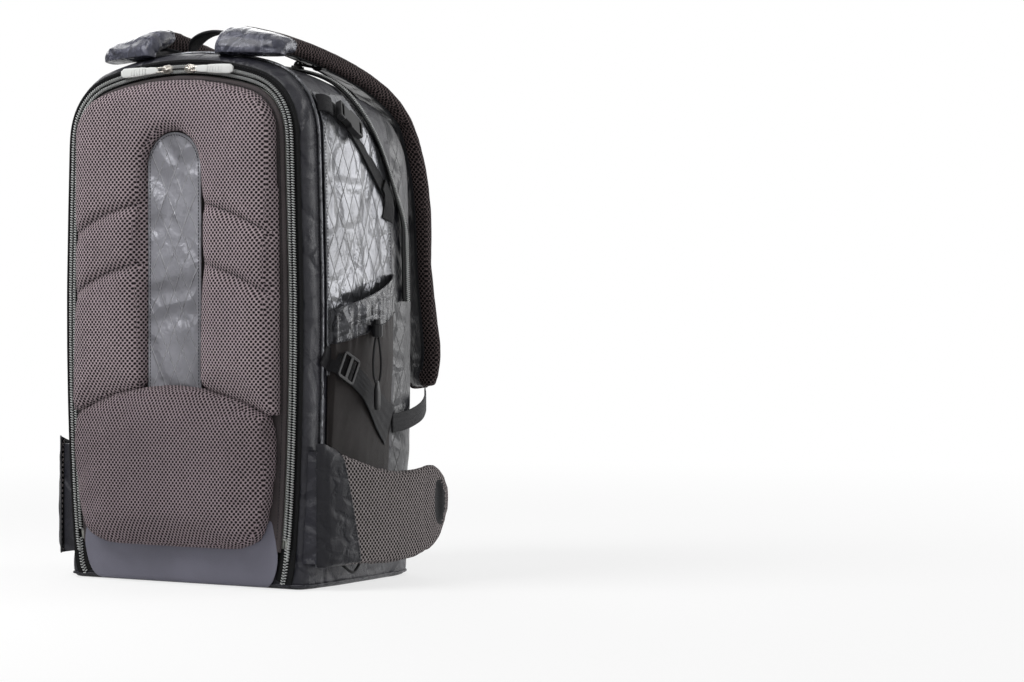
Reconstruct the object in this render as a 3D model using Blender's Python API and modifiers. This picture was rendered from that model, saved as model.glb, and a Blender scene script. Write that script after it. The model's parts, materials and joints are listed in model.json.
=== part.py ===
"""A camera backpack that opens at its back panel, standing closed on its base.

Metres, +Z up. The wearer's side, with the padded lid, faces -Y. The origin is the centre of the flat base.
The lid swings down about the hinge line above its lower band, and lies on the floor when it is open.
"""

import math

import bmesh
import bpy
import numpy as np
from mathutils import Matrix, Vector

# Driving dimensions
GAP = 0.0003            # between two pieces that touch
ZIP_Y = -0.090          # plane of the main zip
FLOOR = 0.0065          # underside of the shell, on top of the base cover
SOLE = 0.0165           # lowest line of the zip's outline
ZIP_TOP = 0.526         # highest point of the zip's outline
CROWN_R = 0.360         # radius of the outline over the top
CORNER_R = 0.058        # radius of its upper corners
SHOULDER = 0.140        # half-width just below the upper corners
FOOT_X = 0.122          # where the lower corners start
FOOT_R = 0.012
EDGE_R = 0.014          # of the skins' lower corners
SIDE = [(0.1388, 0.085), (0.1430, 0.185), (0.1440, 0.300)]    # the zip's side, between foot and corner
LID_LOW = 0.0375        # lower edge of the moving lid, clear of the base's front band as it turns
HINGE_Z = 0.0345        # height of the lid's hinge line

# Sections of the bag: depth behind the zip plane, outwards from the zip, width and height factors
SHELL_SKIN = [(0.165, 0.010, 0.950, 0.965), (0.090, 0.015, 0.985, 0.987), (0.022, 0.017, 1.0, 1.0),
              (0.006, 0.0145, 1.0, 1.0), (0.0, 0.0105, 1.0, 1.0)]
SHELL_LINING = [(0.0, 0.0018, 1.0, 1.0), (0.031, 0.0018, 1.0, 1.0), (0.150, 0.0, 0.945, 0.955)]
LAPTOP_SKIN = [(0.1655, 0.0095, 0.948, 0.963), (0.188, 0.0105, 0.940, 0.955), (0.212, 0.006, 0.905, 0.930),
               (0.228, -0.004, 0.865, 0.895), (0.2355, -0.020, 0.820, 0.860)]

# Lid: depths are negative in front of the zip plane
LINER_D = (-0.0003, -0.0017)
SHEET_D = (-0.0020, -0.0032)
PANEL_D = (-0.0035, -0.0062)
PAD_BACK = -0.0065
PAD_FRONT = -0.0285
PAD_ROUND = 0.017       # of the front edges of the pads
LUMBAR_FRONT = -0.0325
LID_EDGE = -0.0066      # the panel's edge, in from the zip's outline
PAD_EDGE = -0.0105      # the pads' edge
LUMBAR_R = 0.288        # arc between the back pad and the lumbar pad
LUMBAR_TOP = 0.2035
SEAM_R = 0.243          # arcs of the two seams across the back pad
SEAM_TOPS = (0.3907, 0.3297)
SPINE_HALF = 0.0355
SPINE_TOP = 0.4625
POCKET_TOP = 0.440      # top edge of the lid's inner mesh pocket
BUNGEE = [(-0.106, 0.473), (-0.062, 0.462), (0.000, 0.457), (0.060, 0.456), (0.108, 0.450)]   # X and Z

# Inside
WALL_Y = 0.1455         # front of the back wall's liner, as a depth
LONG_LEFT_X = -0.045
LONG_RIGHT = (0.074, 0.096)   # the right long divider leans: X at its top and at its foot
BOARD = 0.007           # thickness of a long divider
SHELF_T = 0.006

# Outside
STRAP_X = 0.078
STRAP_W = 0.072
STRAP_T = 0.017
STRAP_PIVOT = (0.0060, 0.5370)  # depth and height of the line that the strap swings about
WING_T = 0.014
WING_ROOT_T = 0.006     # where it is sewn to its root
WING_PIVOT = (0.1690, 0.0060)   # X and depth of the line that a wing turns about
HANDLE_PIVOT = (0.058, 0.5417)
HANDLE_HEEL = 0.0040            # radius of a handle's foot about its axis
HANDLE_SPAN = 0.069
HANDLE_RISE = 0.0258
LAPTOP_ZIP_D = 0.104    # where the laptop compartment's zip crosses the top
SLIDER_D = -0.0050      # the sliders' plates start just in front of the coils
BAIL_UP = 0.0045        # from a plate's underside to the middle of its bail
POCKET_D = (0.034, 0.152)       # front and back ends of the bottle pockets, as depths
POCKET_WALL = 0.0022

parts = bpy.data.collections.new("camera_backpack")
guides = bpy.data.collections.new("cutters")
materials = {}


# ---------------------------------------------------------------- outlines

def arc(cx, cz, radius, start, end, steps):
    """Points on a circle from start to end, in degrees, both ends included."""
    return [(cx + radius * math.cos(math.radians(a)), cz + radius * math.sin(math.radians(a)))
            for a in np.linspace(start, end, steps + 1)]


def smooth(points, steps):
    """A Catmull-Rom curve through points of any dimension, with its ends."""
    p = np.array([points[0], *points, points[-1]], float)
    out = []
    for i in range(1, len(p) - 2):
        for t in np.linspace(0, 1, steps, endpoint=False):
            a, b, c, d = p[i - 1], p[i], p[i + 1], p[i + 2]
            out.append(0.5 * (2 * b + (c - a) * t + (2 * a - 5 * b + 4 * c - d) * t ** 2
                              + (3 * b - a - 3 * c + d) * t ** 3))
    out.append(p[-2])
    return [tuple(float(v) for v in q) for q in out]


def zip_half():
    """The right half of the zip's outline in X and Z, from the bottom centre to the top centre."""
    crown_z = ZIP_TOP - CROWN_R
    cx = SHOULDER - CORNER_R
    cz = crown_z + math.sqrt((CROWN_R - CORNER_R) ** 2 - cx ** 2)
    meet = math.degrees(math.atan2(cz - crown_z, cx))
    foot = arc(FOOT_X, SOLE + FOOT_R, FOOT_R, -90, -15, 3)
    corner = arc(cx, cz, CORNER_R, -4, meet, 6)
    crown = arc(0, crown_z, CROWN_R, meet, 90, 3)
    side = smooth([foot[-1], *SIDE, corner[0]], 2)
    return [(0.0, SOLE), (FOOT_X / 2, SOLE)] + foot + side[1:-1] + corner + crown[1:]


HALF = zip_half()
OUTLINE = HALF + [(-x, z) for x, z in reversed(HALF[1:-1])]


def moved_out(path, distance, closed=True):
    """A path in X and Z moved to its right-hand side, which is outwards on a loop that runs anticlockwise."""
    p = np.array(path)
    if closed:
        t = np.roll(p, -1, 0) - np.roll(p, 1, 0)
    else:
        t = np.gradient(p, axis=0)
    n = np.stack([t[:, 1], -t[:, 0]], 1) / np.linalg.norm(t, axis=1)[:, None]
    return [tuple(q) for q in p + n * distance]


def section(depth, out=0.0, wide=1.0, tall=1.0):
    """The bag's closed outline at one depth, moved out and then scaled from the floor, where it is flat."""
    radius = FOOT_R + out
    spread = max(radius - EDGE_R, 0.0)
    ring = []
    for x, z in moved_out(OUTLINE, out):
        if spread and abs(x) > FOOT_X and z < SOLE + FOOT_R:
            share = EDGE_R / radius
            x = math.copysign(FOOT_X + spread + (abs(x) - FOOT_X) * share, x)
            z = SOLE + FOOT_R - spread + (z - SOLE - FOOT_R) * share
        ring.append((x * wide, ZIP_Y + depth, FLOOR + max(z - FLOOR, 0.0) * tall))
    return ring


def skin_ring(depth, skins):
    """The outline of a skin at any depth between its first and last sections."""
    rows = sorted(skins)
    depths = [row[0] for row in rows]
    loops = np.array([section(*row) for row in rows])
    k = min(max(int(np.searchsorted(depths, depth)), 1), len(rows) - 1)
    t = (depth - depths[k - 1]) / (depths[k] - depths[k - 1])
    return loops[k - 1] * (1 - t) + loops[k] * t


def skin_x(depth, z, skins=SHELL_SKIN):
    """Half-width of a skin at a depth and a height."""
    half = skin_ring(depth, skins)[:len(HALF)]
    return float(np.interp(z, half[:, 2], half[:, 0]))


def lid_outline(out):
    """The moving lid's outline, moved out from the zip and cut straight across above the hinge."""
    loop = moved_out(OUTLINE, out)
    half = [p for p in loop[:len(HALF)] if p[1] > LID_LOW + 0.004]
    before = loop[len(HALF) - len(half) - 1]
    t = (LID_LOW - before[1]) / (half[0][1] - before[1])
    corner = (before[0] + t * (half[0][0] - before[0]), LID_LOW)
    half = [corner] + half
    return half + [(-x, z) for x, z in reversed(half[:-1])]


def zip_path(low):
    """The open path of the zip, from its right lower end over the top to the left one."""
    half = [p for p in HALF if p[1] > low and p[0] > FOOT_X] + [p for p in HALF if p[0] <= FOOT_X and p[1] > 0.4]
    return half + [(-x, z) for x, z in reversed(half[:-1])]


# ---------------------------------------------------------------- builders

def material(name, colour, roughness=0.8, metallic=0.0):
    """One Principled material for each name."""
    if name not in materials:
        made = bpy.data.materials.new(name)
        made.use_nodes = True
        shader = made.node_tree.nodes["Principled BSDF"]
        shader.inputs["Base Color"].default_value = (*colour, 1.0)
        shader.inputs["Roughness"].default_value = roughness
        shader.inputs["Metallic"].default_value = metallic
        materials[name] = made
    return materials[name]


def mesh_piece(name, bm, finish, home=parts):
    """A named object from a bmesh, with its faces pointing out."""
    bmesh.ops.recalc_face_normals(bm, faces=bm.faces)
    mesh = bpy.data.meshes.new(name)
    bm.to_mesh(mesh)
    bm.free()
    mesh.shade_smooth()
    mesh.set_sharp_from_angle(angle=math.radians(35))
    piece = bpy.data.objects.new(name, mesh)
    piece.data.materials.append(finish)
    home.objects.link(piece)
    return piece


def loft(name, rings, finish, closed=False, home=parts):
    """A body through rings of equal length, capped at both ends unless it closes on itself."""
    bm = bmesh.new()
    rows = [[bm.verts.new(p) for p in ring] for ring in rings]
    count = len(rings[0])
    for a, b in zip(rows, rows[1:] + (rows[:1] if closed else [])):
        for i in range(count):
            j = (i + 1) % count
            bm.faces.new((a[i], a[j], b[j], b[i]))
    if not closed:
        bm.faces.new(reversed(rows[0]))
        bm.faces.new(rows[-1])
    return mesh_piece(name, bm, finish, home)


def swept(name, path, shape, finish, closed=False, home=parts):
    """A shape, given as (outwards, depth), carried along a path in X and Z."""
    sides = [moved_out(path, out, closed) for out, _ in shape]
    rings = [[(side[i][0], ZIP_Y + depth, side[i][1]) for side, (_, depth) in zip(sides, shape)]
             for i in range(len(path))]
    return loft(name, rings, finish, closed, home)


def flat_piece(name, splines, thickness, place, finish, home=parts):
    """A flat piece with holes, from its outline and the outlines of its holes."""
    curve = bpy.data.curves.new(name, "CURVE")
    curve.dimensions = "2D"
    curve.fill_mode = "BOTH"
    for points in splines:
        spline = curve.splines.new("POLY")
        spline.points.add(len(points) - 1)
        for knot, (x, y) in zip(spline.points, points):
            knot.co = (x, y, 0.0, 1.0)
        spline.use_cyclic_u = True
    curve.extrude = thickness / 2
    curve.materials.append(finish)
    piece = bpy.data.objects.new(name, curve)
    piece.matrix_world = place
    home.objects.link(piece)
    return piece


def sheet(name, outline, depths, finish, rounding=0.0, steps=2):
    """A flat piece with an outline in X and Z, between two depths, with rounded edges."""
    front, back = sorted(depths)
    place = Matrix.Translation((0, ZIP_Y + (front + back) / 2, 0)) @ Matrix.Rotation(math.pi / 2, 4, "X")
    piece = flat_piece(name, [outline], back - front - 2 * rounding, place, finish)
    piece.data.bevel_depth = rounding
    piece.data.bevel_resolution = steps
    piece.data.offset = -rounding
    return piece


def meshed(piece):
    """The mesh object that takes a curve's place, so that it can be cut or joined."""
    bpy.context.view_layer.update()
    evaluated = piece.evaluated_get(bpy.context.evaluated_depsgraph_get())
    mesh = bpy.data.meshes.new_from_object(evaluated)
    matrix, name, home = piece.matrix_world.copy(), piece.name, piece.users_collection[0]
    bpy.data.objects.remove(piece, do_unlink=True)
    bm = bmesh.new()
    bm.from_mesh(mesh)
    bmesh.ops.remove_doubles(bm, verts=bm.verts, dist=1e-5)
    bmesh.ops.recalc_face_normals(bm, faces=bm.faces)
    bm.to_mesh(mesh)
    bm.free()
    mesh.name = name
    made = bpy.data.objects.new(name, mesh)
    made.matrix_world = matrix
    home.objects.link(made)
    return made


def cut(piece, tool, operation="DIFFERENCE"):
    """Cut a piece with a tool, or join them, and keep the tool as a hidden guide."""
    step = piece.modifiers.new(tool.name, "BOOLEAN")
    step.object = tool
    step.operation = operation
    step.solver = "EXACT"
    tool.hide_render = True
    tool.display_type = "WIRE"
    for home in list(tool.users_collection):
        home.objects.unlink(tool)
    guides.objects.link(tool)


def cushion(name, outline, front, rounding, finish):
    """A moulded pad on the lid: flat on its back, with its front edge turned over in a wide round."""
    whole = meshed(sheet(name, outline, (front, 2 * PAD_BACK - front), finish, rounding, 3))
    cut(whole, box(name + "_back", (-0.3, ZIP_Y + PAD_BACK, -0.1), (0.3, ZIP_Y + 0.1, 0.7), finish, home=guides))
    return whole


def box(name, low, high, finish, rounding=0.0, home=parts):
    """A box between two corners, with its edges rounded."""
    bm = bmesh.new()
    bmesh.ops.create_cube(bm, size=1.0)
    size = Vector(high) - Vector(low)
    bmesh.ops.scale(bm, verts=bm.verts, vec=size)
    bmesh.ops.translate(bm, verts=bm.verts, vec=(Vector(high) + Vector(low)) / 2)
    piece = mesh_piece(name, bm, finish, home)
    if rounding:
        edge = piece.modifiers.new("rounding", "BEVEL")
        edge.width = rounding
        edge.segments = 2
    return piece


def frames(path, normal):
    """Points of a path with the direction along it, and a face direction square to that."""
    p = np.array(path, float)
    t = np.gradient(p, axis=0)
    t /= np.linalg.norm(t, axis=1)[:, None]
    n = np.broadcast_to(np.array(normal, float), p.shape)
    n = n - t * np.sum(n * t, 1)[:, None]
    n = n / np.linalg.norm(n, axis=1)[:, None]
    return p, t, n


def ribbon(name, path, normal, widths, thickness, finish, home=parts):
    """Webbing along a path: its face looks along normal, and its inner face lies on the path."""
    p, t, n = frames(path, normal)
    w = np.cross(t, n)
    widths = np.broadcast_to(np.array(widths, float), (len(p),))
    rings = []
    for k in range(len(p)):
        a, b = w[k] * widths[k] / 2, n[k] * thickness
        rings.append([tuple(q) for q in (p[k] - a, p[k] + a, p[k] + a + b, p[k] - a + b)])
    return loft(name, rings, finish, home=home)


def tube(name, points, diameter, finish, resolution=2):
    """A plain round cord through points that already lie on a smooth curve."""
    curve = bpy.data.curves.new(name, "CURVE")
    curve.dimensions = "3D"
    curve.bevel_depth = diameter / 2
    curve.bevel_resolution = resolution
    curve.use_fill_caps = True
    spline = curve.splines.new("POLY")
    spline.points.add(len(points) - 1)
    for point, co in zip(spline.points, points):
        point.co = (*co, 1.0)
    curve.materials.append(finish)
    piece = bpy.data.objects.new(name, curve)
    parts.objects.link(piece)
    return piece


def at_joint(piece, point, holder=None):
    """Put a piece's origin on its joint's axis, under the empty that marks the axis where there is one."""
    if piece.type == "MESH":
        piece.data.transform(Matrix.Translation(-Vector(point)) @ piece.matrix_world)
        piece.matrix_world = Matrix.Translation(point)
    if holder is not None:
        bpy.context.view_layer.update()
        piece.parent = holder
        piece.matrix_parent_inverse = holder.matrix_world.inverted()


def axis_mark(name, point):
    """An empty on a joint's axis."""
    mark = bpy.data.objects.new(name, None)
    mark.location = point
    parts.objects.link(mark)
    bpy.context.view_layer.update()
    return mark


# ---------------------------------------------------------------- finishes

def shell_cloth():
    return material("shell_cloth", (0.035, 0.037, 0.045), 0.55)


def laminate():
    return material("laminate", (0.020, 0.021, 0.024), 0.30)


def air_mesh():
    return material("air_mesh", (0.130, 0.105, 0.105), 0.90)


def light_lining():
    return material("light_lining", (0.52, 0.53, 0.50), 0.90)


def dark_lining():
    return material("dark_lining", (0.085, 0.085, 0.080), 0.95)


def webbing():
    return material("webbing", (0.012, 0.012, 0.013), 0.75)


def black_plastic():
    return material("black_plastic", (0.012, 0.012, 0.012), 0.45)


def zip_coil():
    return material("zip_coil", (0.030, 0.032, 0.033), 0.50)


def nickel():
    return material("nickel", (0.62, 0.60, 0.57), 0.28, 1.0)


def pull_grip():
    return material("pull_grip", (0.56, 0.55, 0.52), 0.55)


def stretch_cloth():
    return material("stretch_cloth", (0.030, 0.026, 0.024), 0.70)


def frame_plastic():
    return material("frame_plastic", (0.60, 0.60, 0.58), 0.50)


def spine_cloth():
    return material("spine_cloth", (0.150, 0.152, 0.160), 0.45)


# ---------------------------------------------------------------- bag

def build_shell():
    """The padded camera compartment: four walls and a back, open at the zip."""
    rings = [section(*row) for row in SHELL_SKIN] + [section(*row) for row in SHELL_LINING]
    loft("main_shell", rings, shell_cloth())
    loft("laptop_compartment", [section(*row) for row in LAPTOP_SKIN], laminate())
    base = arc(0.110, 0.029, 0.03, -90, 0, 3) + arc(0.102, 0.186, 0.03, 0, 90, 3)
    base = base + [(-x, depth) for x, depth in reversed(base)]
    thick = FLOOR - GAP
    bottom = sheet("base_cover", base, (0.0, thick), shell_cloth(), 0.002)
    bottom.rotation_euler = (0, 0, 0)
    bottom.location = (0, ZIP_Y, thick / 2)
    band = [(0.1080, 0.0030), (0.1200, 0.0110), (0.1265, HINGE_Z - 0.0005)]
    band = band + [(-x, z) for x, z in reversed(band)]
    cut(meshed(bottom), meshed(sheet("lid_band", band, (-GAP, -0.0023), shell_cloth())), "UNION")
    pocket = [[(x, ZIP_Y + depth, z) for x, z in front_pocket_outline(inset)]
              for depth, inset in ((0.2358, 0.0), (0.241, 0.001), (0.247, 0.012))]
    loft("front_pocket", pocket, laminate())


def laptop_zip_line():
    """The laptop compartment's zip: up each side of the far part, then forwards over the top."""
    line = []
    for i, (x, z) in enumerate(OUTLINE):
        if z < 0.25:
            continue
        t = min(max((z - 0.39) / 0.12, 0.0), 1.0)
        depth = 0.186 - (0.186 - LAPTOP_ZIP_D) * t * t * (3 - 2 * t)
        ring = skin_ring(depth, SHELL_SKIN if depth < 0.165 else LAPTOP_SKIN)
        ahead, behind = ring[(i + 1) % len(ring)], ring[i - 1]
        out = np.array([(ahead - behind)[2], 0.0, -(ahead - behind)[0]])
        out /= np.linalg.norm(out)
        line.append((ring[i] + out * 0.0022, out))
    return line


def build_laptop_zip():
    """The covered zip of the laptop compartment, and its slider with a short moulded pull."""
    line = laptop_zip_line()
    path, faces = [point for point, _ in line], np.array([out for _, out in line])
    ribbon("laptop_zip", path, faces, 0.012, 0.0026, zip_coil())
    top = path[len(path) // 2]
    centre = Vector((0, ZIP_Y + LAPTOP_ZIP_D, top[2] - CROWN_R))
    turn = 0.068 / CROWN_R
    along = (math.cos(turn), 0, -math.sin(turn))
    out = (math.sin(turn), 0, math.cos(turn))
    point = centre + Vector(out) * (CROWN_R + 0.0036)
    made = slider("laptop_zip_slider", point, along, out, black_plastic())
    tab = box("laptop_pull", (0.0, -0.0040, 0.0), (0.034, 0.0040, 0.0024), black_plastic(), 0.0008, guides)
    tab.matrix_world = (Matrix.Translation(point + Vector(out) * 0.0030)
                        @ Matrix((along, Vector(out).cross(Vector(along)), out)).transposed().to_4x4())
    cut(made, tab, "UNION")
    at_joint(made, centre, axis_mark("laptop_zip_axis", centre))


def front_pocket_outline(inset):
    """The flat organiser pocket on the far face, a rounded arch."""
    half, low, high, corner = 0.088 - inset, 0.070 + inset, 0.385 - inset, 0.030
    right = arc(half - corner, low + corner, corner, -90, 0, 3) + arc(half - corner, high - corner, corner, 0, 90, 3)
    return right + [(-x, z) for x, z in reversed(right)]


def build_main_zip():
    """The half of the main zip's coil and tape that is sewn to the shell."""
    shape = [(GAP / 2, -GAP), (0.0100, -GAP), (0.0100, -0.0013), (0.0046, -0.0013), (0.0037, -0.0045),
             (GAP / 2, -0.0045)]
    swept("body_zip", zip_path(SOLE + 0.0012), shape, zip_coil())


def build_rim():
    """The padded light lining that rings the opening, and the liner on the back wall."""
    shape = [(0.0012, 0.0012), (-0.0025, 0.0005), (-0.0080, 0.0012), (-0.0100, 0.0045),
             (-0.0090, 0.0280), (-0.0050, 0.0300), (0.0012, 0.0300)]
    swept("rim_lining", OUTLINE, shape, light_lining(), closed=True)
    rings = [section(depth, -0.0025, 0.945, 0.955) for depth in (WALL_Y, WALL_Y + 0.0035)]
    loft("back_wall_liner", rings, light_lining())


def right_board_x(z):
    """X of the leaning long divider's middle at a height."""
    top, foot = LONG_RIGHT
    return foot + (top - foot) * (z - 0.03) / 0.47


def board(name, x_of, low, finish):
    """A long upright divider from the rim to the back wall, its top under the arch of the shell."""
    front, back = 0.0315, WALL_Y - 0.001
    profile = [(front, low), (back, low), (back, 0.488), (back - 0.03, 0.492), (front + 0.012, 0.5015),
               (front, 0.492)]
    rings = [[(x_of(z) + side * BOARD / 2, ZIP_Y + depth, z) for depth, z in profile] for side in (-1, 1)]
    loft(name, rings, finish)


def shelf(name, height, left_of, right_of, sag, finish, flap=0.028, thick=SHELF_T):
    """A cross divider that sags between two walls, with a hook flap turned up along the back wall."""
    front, back = 0.034, WALL_Y - 0.001
    if flap:
        profile = [(front, 0.0), (back, 0.0), (back, flap), (back - 0.004, flap), (back - 0.004, thick),
                   (front, thick)]
    else:
        profile = [(front, 0.0), (back, 0.0), (back, thick), (front, thick)]
    rings = []
    for u in np.linspace(0, 1, 5):
        drop = sag * (1 - (2 * u - 1) ** 2)
        ring = []
        for depth, up in profile:
            z = height + up - drop
            x = left_of(depth, z) * (1 - u) + right_of(depth, z) * u
            ring.append((x, ZIP_Y + depth, z))
        rings.append(ring)
    loft(name, rings, finish)


def lining_x(depth, z):
    """Half-width inside the shell."""
    return skin_x(depth, z, SHELL_LINING) - 0.0012


def build_dividers():
    """Two long dividers make three columns, which the cross dividers part."""
    light, dark = light_lining(), dark_lining()
    board("divider_long_left", lambda z: LONG_LEFT_X, 0.1245, light)
    board("divider_long_right", right_board_x, SOLE + 0.0017, light)
    near_left = lambda depth, z: LONG_LEFT_X - BOARD / 2 - GAP
    for number, (height, sag) in enumerate([(0.412, 0.004), (0.325, 0.008), (0.207, 0.008), (0.112, 0.007)], 1):
        shelf(f"divider_left_{number}", height, lambda depth, z: -lining_x(depth, z), near_left, sag, light,
              flap=0 if number == 1 else 0.030)
    left = lambda depth, z: LONG_LEFT_X + BOARD / 2 + GAP
    right = lambda depth, z: right_board_x(z) - BOARD / 2 - GAP
    shelf("divider_centre_1", 0.372, left, right, 0.013, light)
    shelf("divider_centre_2", 0.256, left, right, 0.004, light)
    base_left = lambda depth, z: LONG_LEFT_X - BOARD / 2
    shelf("shelf_centre", 0.1105, base_left, right, 0.0, light, flap=0, thick=0.0135)
    for number, height in enumerate([0.372, 0.261, 0.131], 1):
        shelf(f"divider_right_{number}", height, lambda depth, z: right_board_x(z) + BOARD / 2 + GAP,
              lining_x, 0.004, light, flap=0.026)
    box("divider_hood", (-0.0405, ZIP_Y + 0.036, 0.402), (0.0705, ZIP_Y + 0.048, 0.494), dark, 0.004)
    bend = smooth([(-0.0445, 0.1090), (-0.0450, 0.085), (-0.0400, 0.048), (-0.0180, 0.0250), (0.010, 0.0203)], 2)
    edge = bend + list(reversed(moved_out(bend, -0.0040, closed=False)))
    loft("divider_curved", [[(x, ZIP_Y + depth, z) for x, z in edge] for depth in (0.036, WALL_Y - 0.001)], light)
    rows = [(0.0225, 0.1025, 0.1130), (0.031, 0.1005, 0.1195), (0.062, 0.0990, 0.1290), (0.100, 0.0985, 0.1310),
            (0.112, 0.1030, 0.1250)]
    rings = []
    for z, low, high in rows:
        mid, half = (low + high) / 2, (high - low) / 2
        rings.append([(mid + half * math.copysign(abs(math.cos(a)) ** 0.6, math.cos(a)),
                       ZIP_Y + 0.082 + 0.040 * math.copysign(abs(math.sin(a)) ** 0.6, math.sin(a)), z)
                      for a in np.linspace(0, 2 * math.pi, 12, endpoint=False)])
    loft("rain_cover_pouch", rings, dark_lining())


# ---------------------------------------------------------------- lid

def lumbar_arc(lift, half, steps):
    """The arc over the lumbar pad from X = half to X = -half."""
    radius = LUMBAR_R + lift
    turn = math.degrees(math.asin(half / radius))
    return arc(0, LUMBAR_TOP - LUMBAR_R, radius, 90 - turn, 90 + turn, steps)


def seam_tool(name, top, side):
    """A V that presses one stitched seam into the front of the back pad."""
    turn = [math.degrees(math.asin(x / SEAM_R)) for x in (SPINE_HALF - 0.006, 0.139)]
    path = arc(0, top - SEAM_R, SEAM_R, 90 - turn[1], 90 - turn[0], 5)
    path = [(side * x, z) for x, z in path]
    if side < 0:
        path.reverse()
    shape = [(-0.0055, PAD_FRONT - 0.002), (0.0, PAD_FRONT + 0.009), (0.0055, PAD_FRONT - 0.002)]
    return swept(name, path, shape, air_mesh())


def build_lid():
    """The hinged lid: liner, frame sheet and panel, its half of the zip, and the moulded pads."""
    hinge = axis_mark("lid_hinge_axis", (0, ZIP_Y, HINGE_Z))
    pieces = [sheet("lid_liner", lid_outline(LID_EDGE), LINER_D, light_lining()),
              sheet("lid_frame_sheet", lid_outline(LID_EDGE - 0.008), SHEET_D, frame_plastic()),
              sheet("lid_panel", lid_outline(LID_EDGE), PANEL_D, shell_cloth(), 0.0008, 1)]
    pieces.append(swept("lid_zip", zip_path(LID_LOW), [(-GAP / 2, -GAP), (-GAP / 2, -0.0045), (-0.0037, -0.0045),
                                                       (-0.0046, -0.0013), (-0.0063, -0.0013),
                                                       (-0.0063, -GAP)], zip_coil()))
    outer = [p for p in moved_out(OUTLINE, PAD_EDGE) if p[1] > 0.19]
    slot = [(-SPINE_HALF, LUMBAR_TOP + 0.004)]
    slot += arc(0, SPINE_TOP - SPINE_HALF, SPINE_HALF, 180, 0, 8)
    slot += [(SPINE_HALF, LUMBAR_TOP + 0.004)]
    reach = outer[0][0]
    lower = lumbar_arc(0.0013, reach, 12)
    right = [p for p in lower if p[0] > SPINE_HALF + 0.001]
    left = [(-x, z) for x, z in reversed(right)]
    back_pad = cushion("back_pad", slot + list(reversed(right)) + outer + list(reversed(left)), PAD_FRONT, PAD_ROUND,
                       air_mesh())
    for row, top in enumerate(SEAM_TOPS, 1):
        for side, word in ((1, "right"), (-1, "left")):
            cut(back_pad, seam_tool(f"seam_{row}_{word}", top, side))
    pieces.append(back_pad)
    flank = smooth([(0.084, 0.0395), (0.108, 0.0480), (0.1190, 0.070), (0.1265, 0.112), (0.1290, 0.148),
                    (0.1240, 0.1725)], 2)
    half = flank + [p for p in lumbar_arc(0.0, 0.115, 10) if p[0] >= 0]
    pieces.append(cushion("lumbar_pad", half + [(-x, z) for x, z in reversed(half) if x > 0.001], LUMBAR_FRONT,
                          PAD_ROUND, air_mesh()))
    strip = [(SPINE_HALF - 0.0012, LUMBAR_TOP + 0.0008)]
    strip += arc(0, SPINE_TOP - SPINE_HALF, SPINE_HALF - 0.0012, 0, 180, 8)
    strip += [(-SPINE_HALF + 0.0012, LUMBAR_TOP + 0.0008)]
    pieces.append(sheet("spine_strip", strip, (PAD_BACK, -0.0125), spine_cloth(), 0.001, 1))
    inner = [p for p in moved_out(OUTLINE, -0.022) if 0.07 < p[1] < POCKET_TOP]
    pieces.append(sheet("lid_mesh_pocket", inner, (0.0, 0.0055), light_lining(), 0.001, 1))
    bungee = [(x, ZIP_Y + 0.0022, z) for x, z in smooth(BUNGEE, 5)]
    pieces.append(tube("lid_bungee", bungee, 0.003, webbing()))
    for piece in pieces:
        at_joint(piece, (0, ZIP_Y, HINGE_Z), hinge)


def slider(name, point, along, out, finish):
    """A zip slider: a waisted plate on the coil and the bail that carries the pull."""
    side = Vector(out).cross(Vector(along))
    turn = Matrix((along, side, out)).transposed().to_4x4()
    bm = bmesh.new()
    plan = [(-0.0065, 0.0030), (-0.0015, 0.0052), (0.0055, 0.0044), (0.0065, 0.0022)]
    plan = plan + [(x, -y) for x, y in reversed(plan)]
    low = [bm.verts.new((x, y, 0.0)) for x, y in plan]
    high = [bm.verts.new((x * 0.92, y * 0.86, 0.0022)) for x, y in plan]
    for i in range(len(plan)):
        j = (i + 1) % len(plan)
        bm.faces.new((low[i], low[j], high[j], high[i]))
    bm.faces.new(low)
    bm.faces.new(high)
    bmesh.ops.transform(bm, matrix=Matrix.Translation(point) @ turn, verts=bm.verts)
    plate = mesh_piece(name, bm, finish)
    outer = [(-0.0048, 0.0010), (0.0048, 0.0010)] + arc(0, 0.0030, 0.0048, 10, 170, 6)
    inner = arc(0, BAIL_UP, 0.0017, 0, 330, 11)
    place = Matrix.Translation(point) @ turn @ Matrix.Rotation(math.pi / 2, 4, "X")
    cut(plate, meshed(flat_piece(name + "_bail", [outer, inner], 0.0022, place, finish, guides)), "UNION")
    return plate


def pull(name, point, along, out, finish, length=0.060):
    """A zip pull: a wire frame whose bar runs in the bail, moulded into a grip."""
    side = Vector(out).cross(Vector(along))
    turn = Matrix((along, side, out)).transposed().to_4x4()
    grip = [(0.0130, 0.0030), (0.0170, 0.0046), (length - 0.012, 0.0052)]
    grip += arc(length - 0.0060, 0, 0.0060, 60, 0, 3)
    half = [(-0.0010, 0.0030)] + grip
    splines = [half + [(x, -y) for x, y in reversed(half[:-1])],
               [(0.0009, 0.0019), (0.0105, 0.0019), (0.0105, -0.0019), (0.0009, -0.0019)],
               arc(length - 0.0068, 0, 0.0019, 0, 315, 7)]
    flat_piece(name, splines, 0.0020, Matrix.Translation(point) @ turn, finish)


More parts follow.
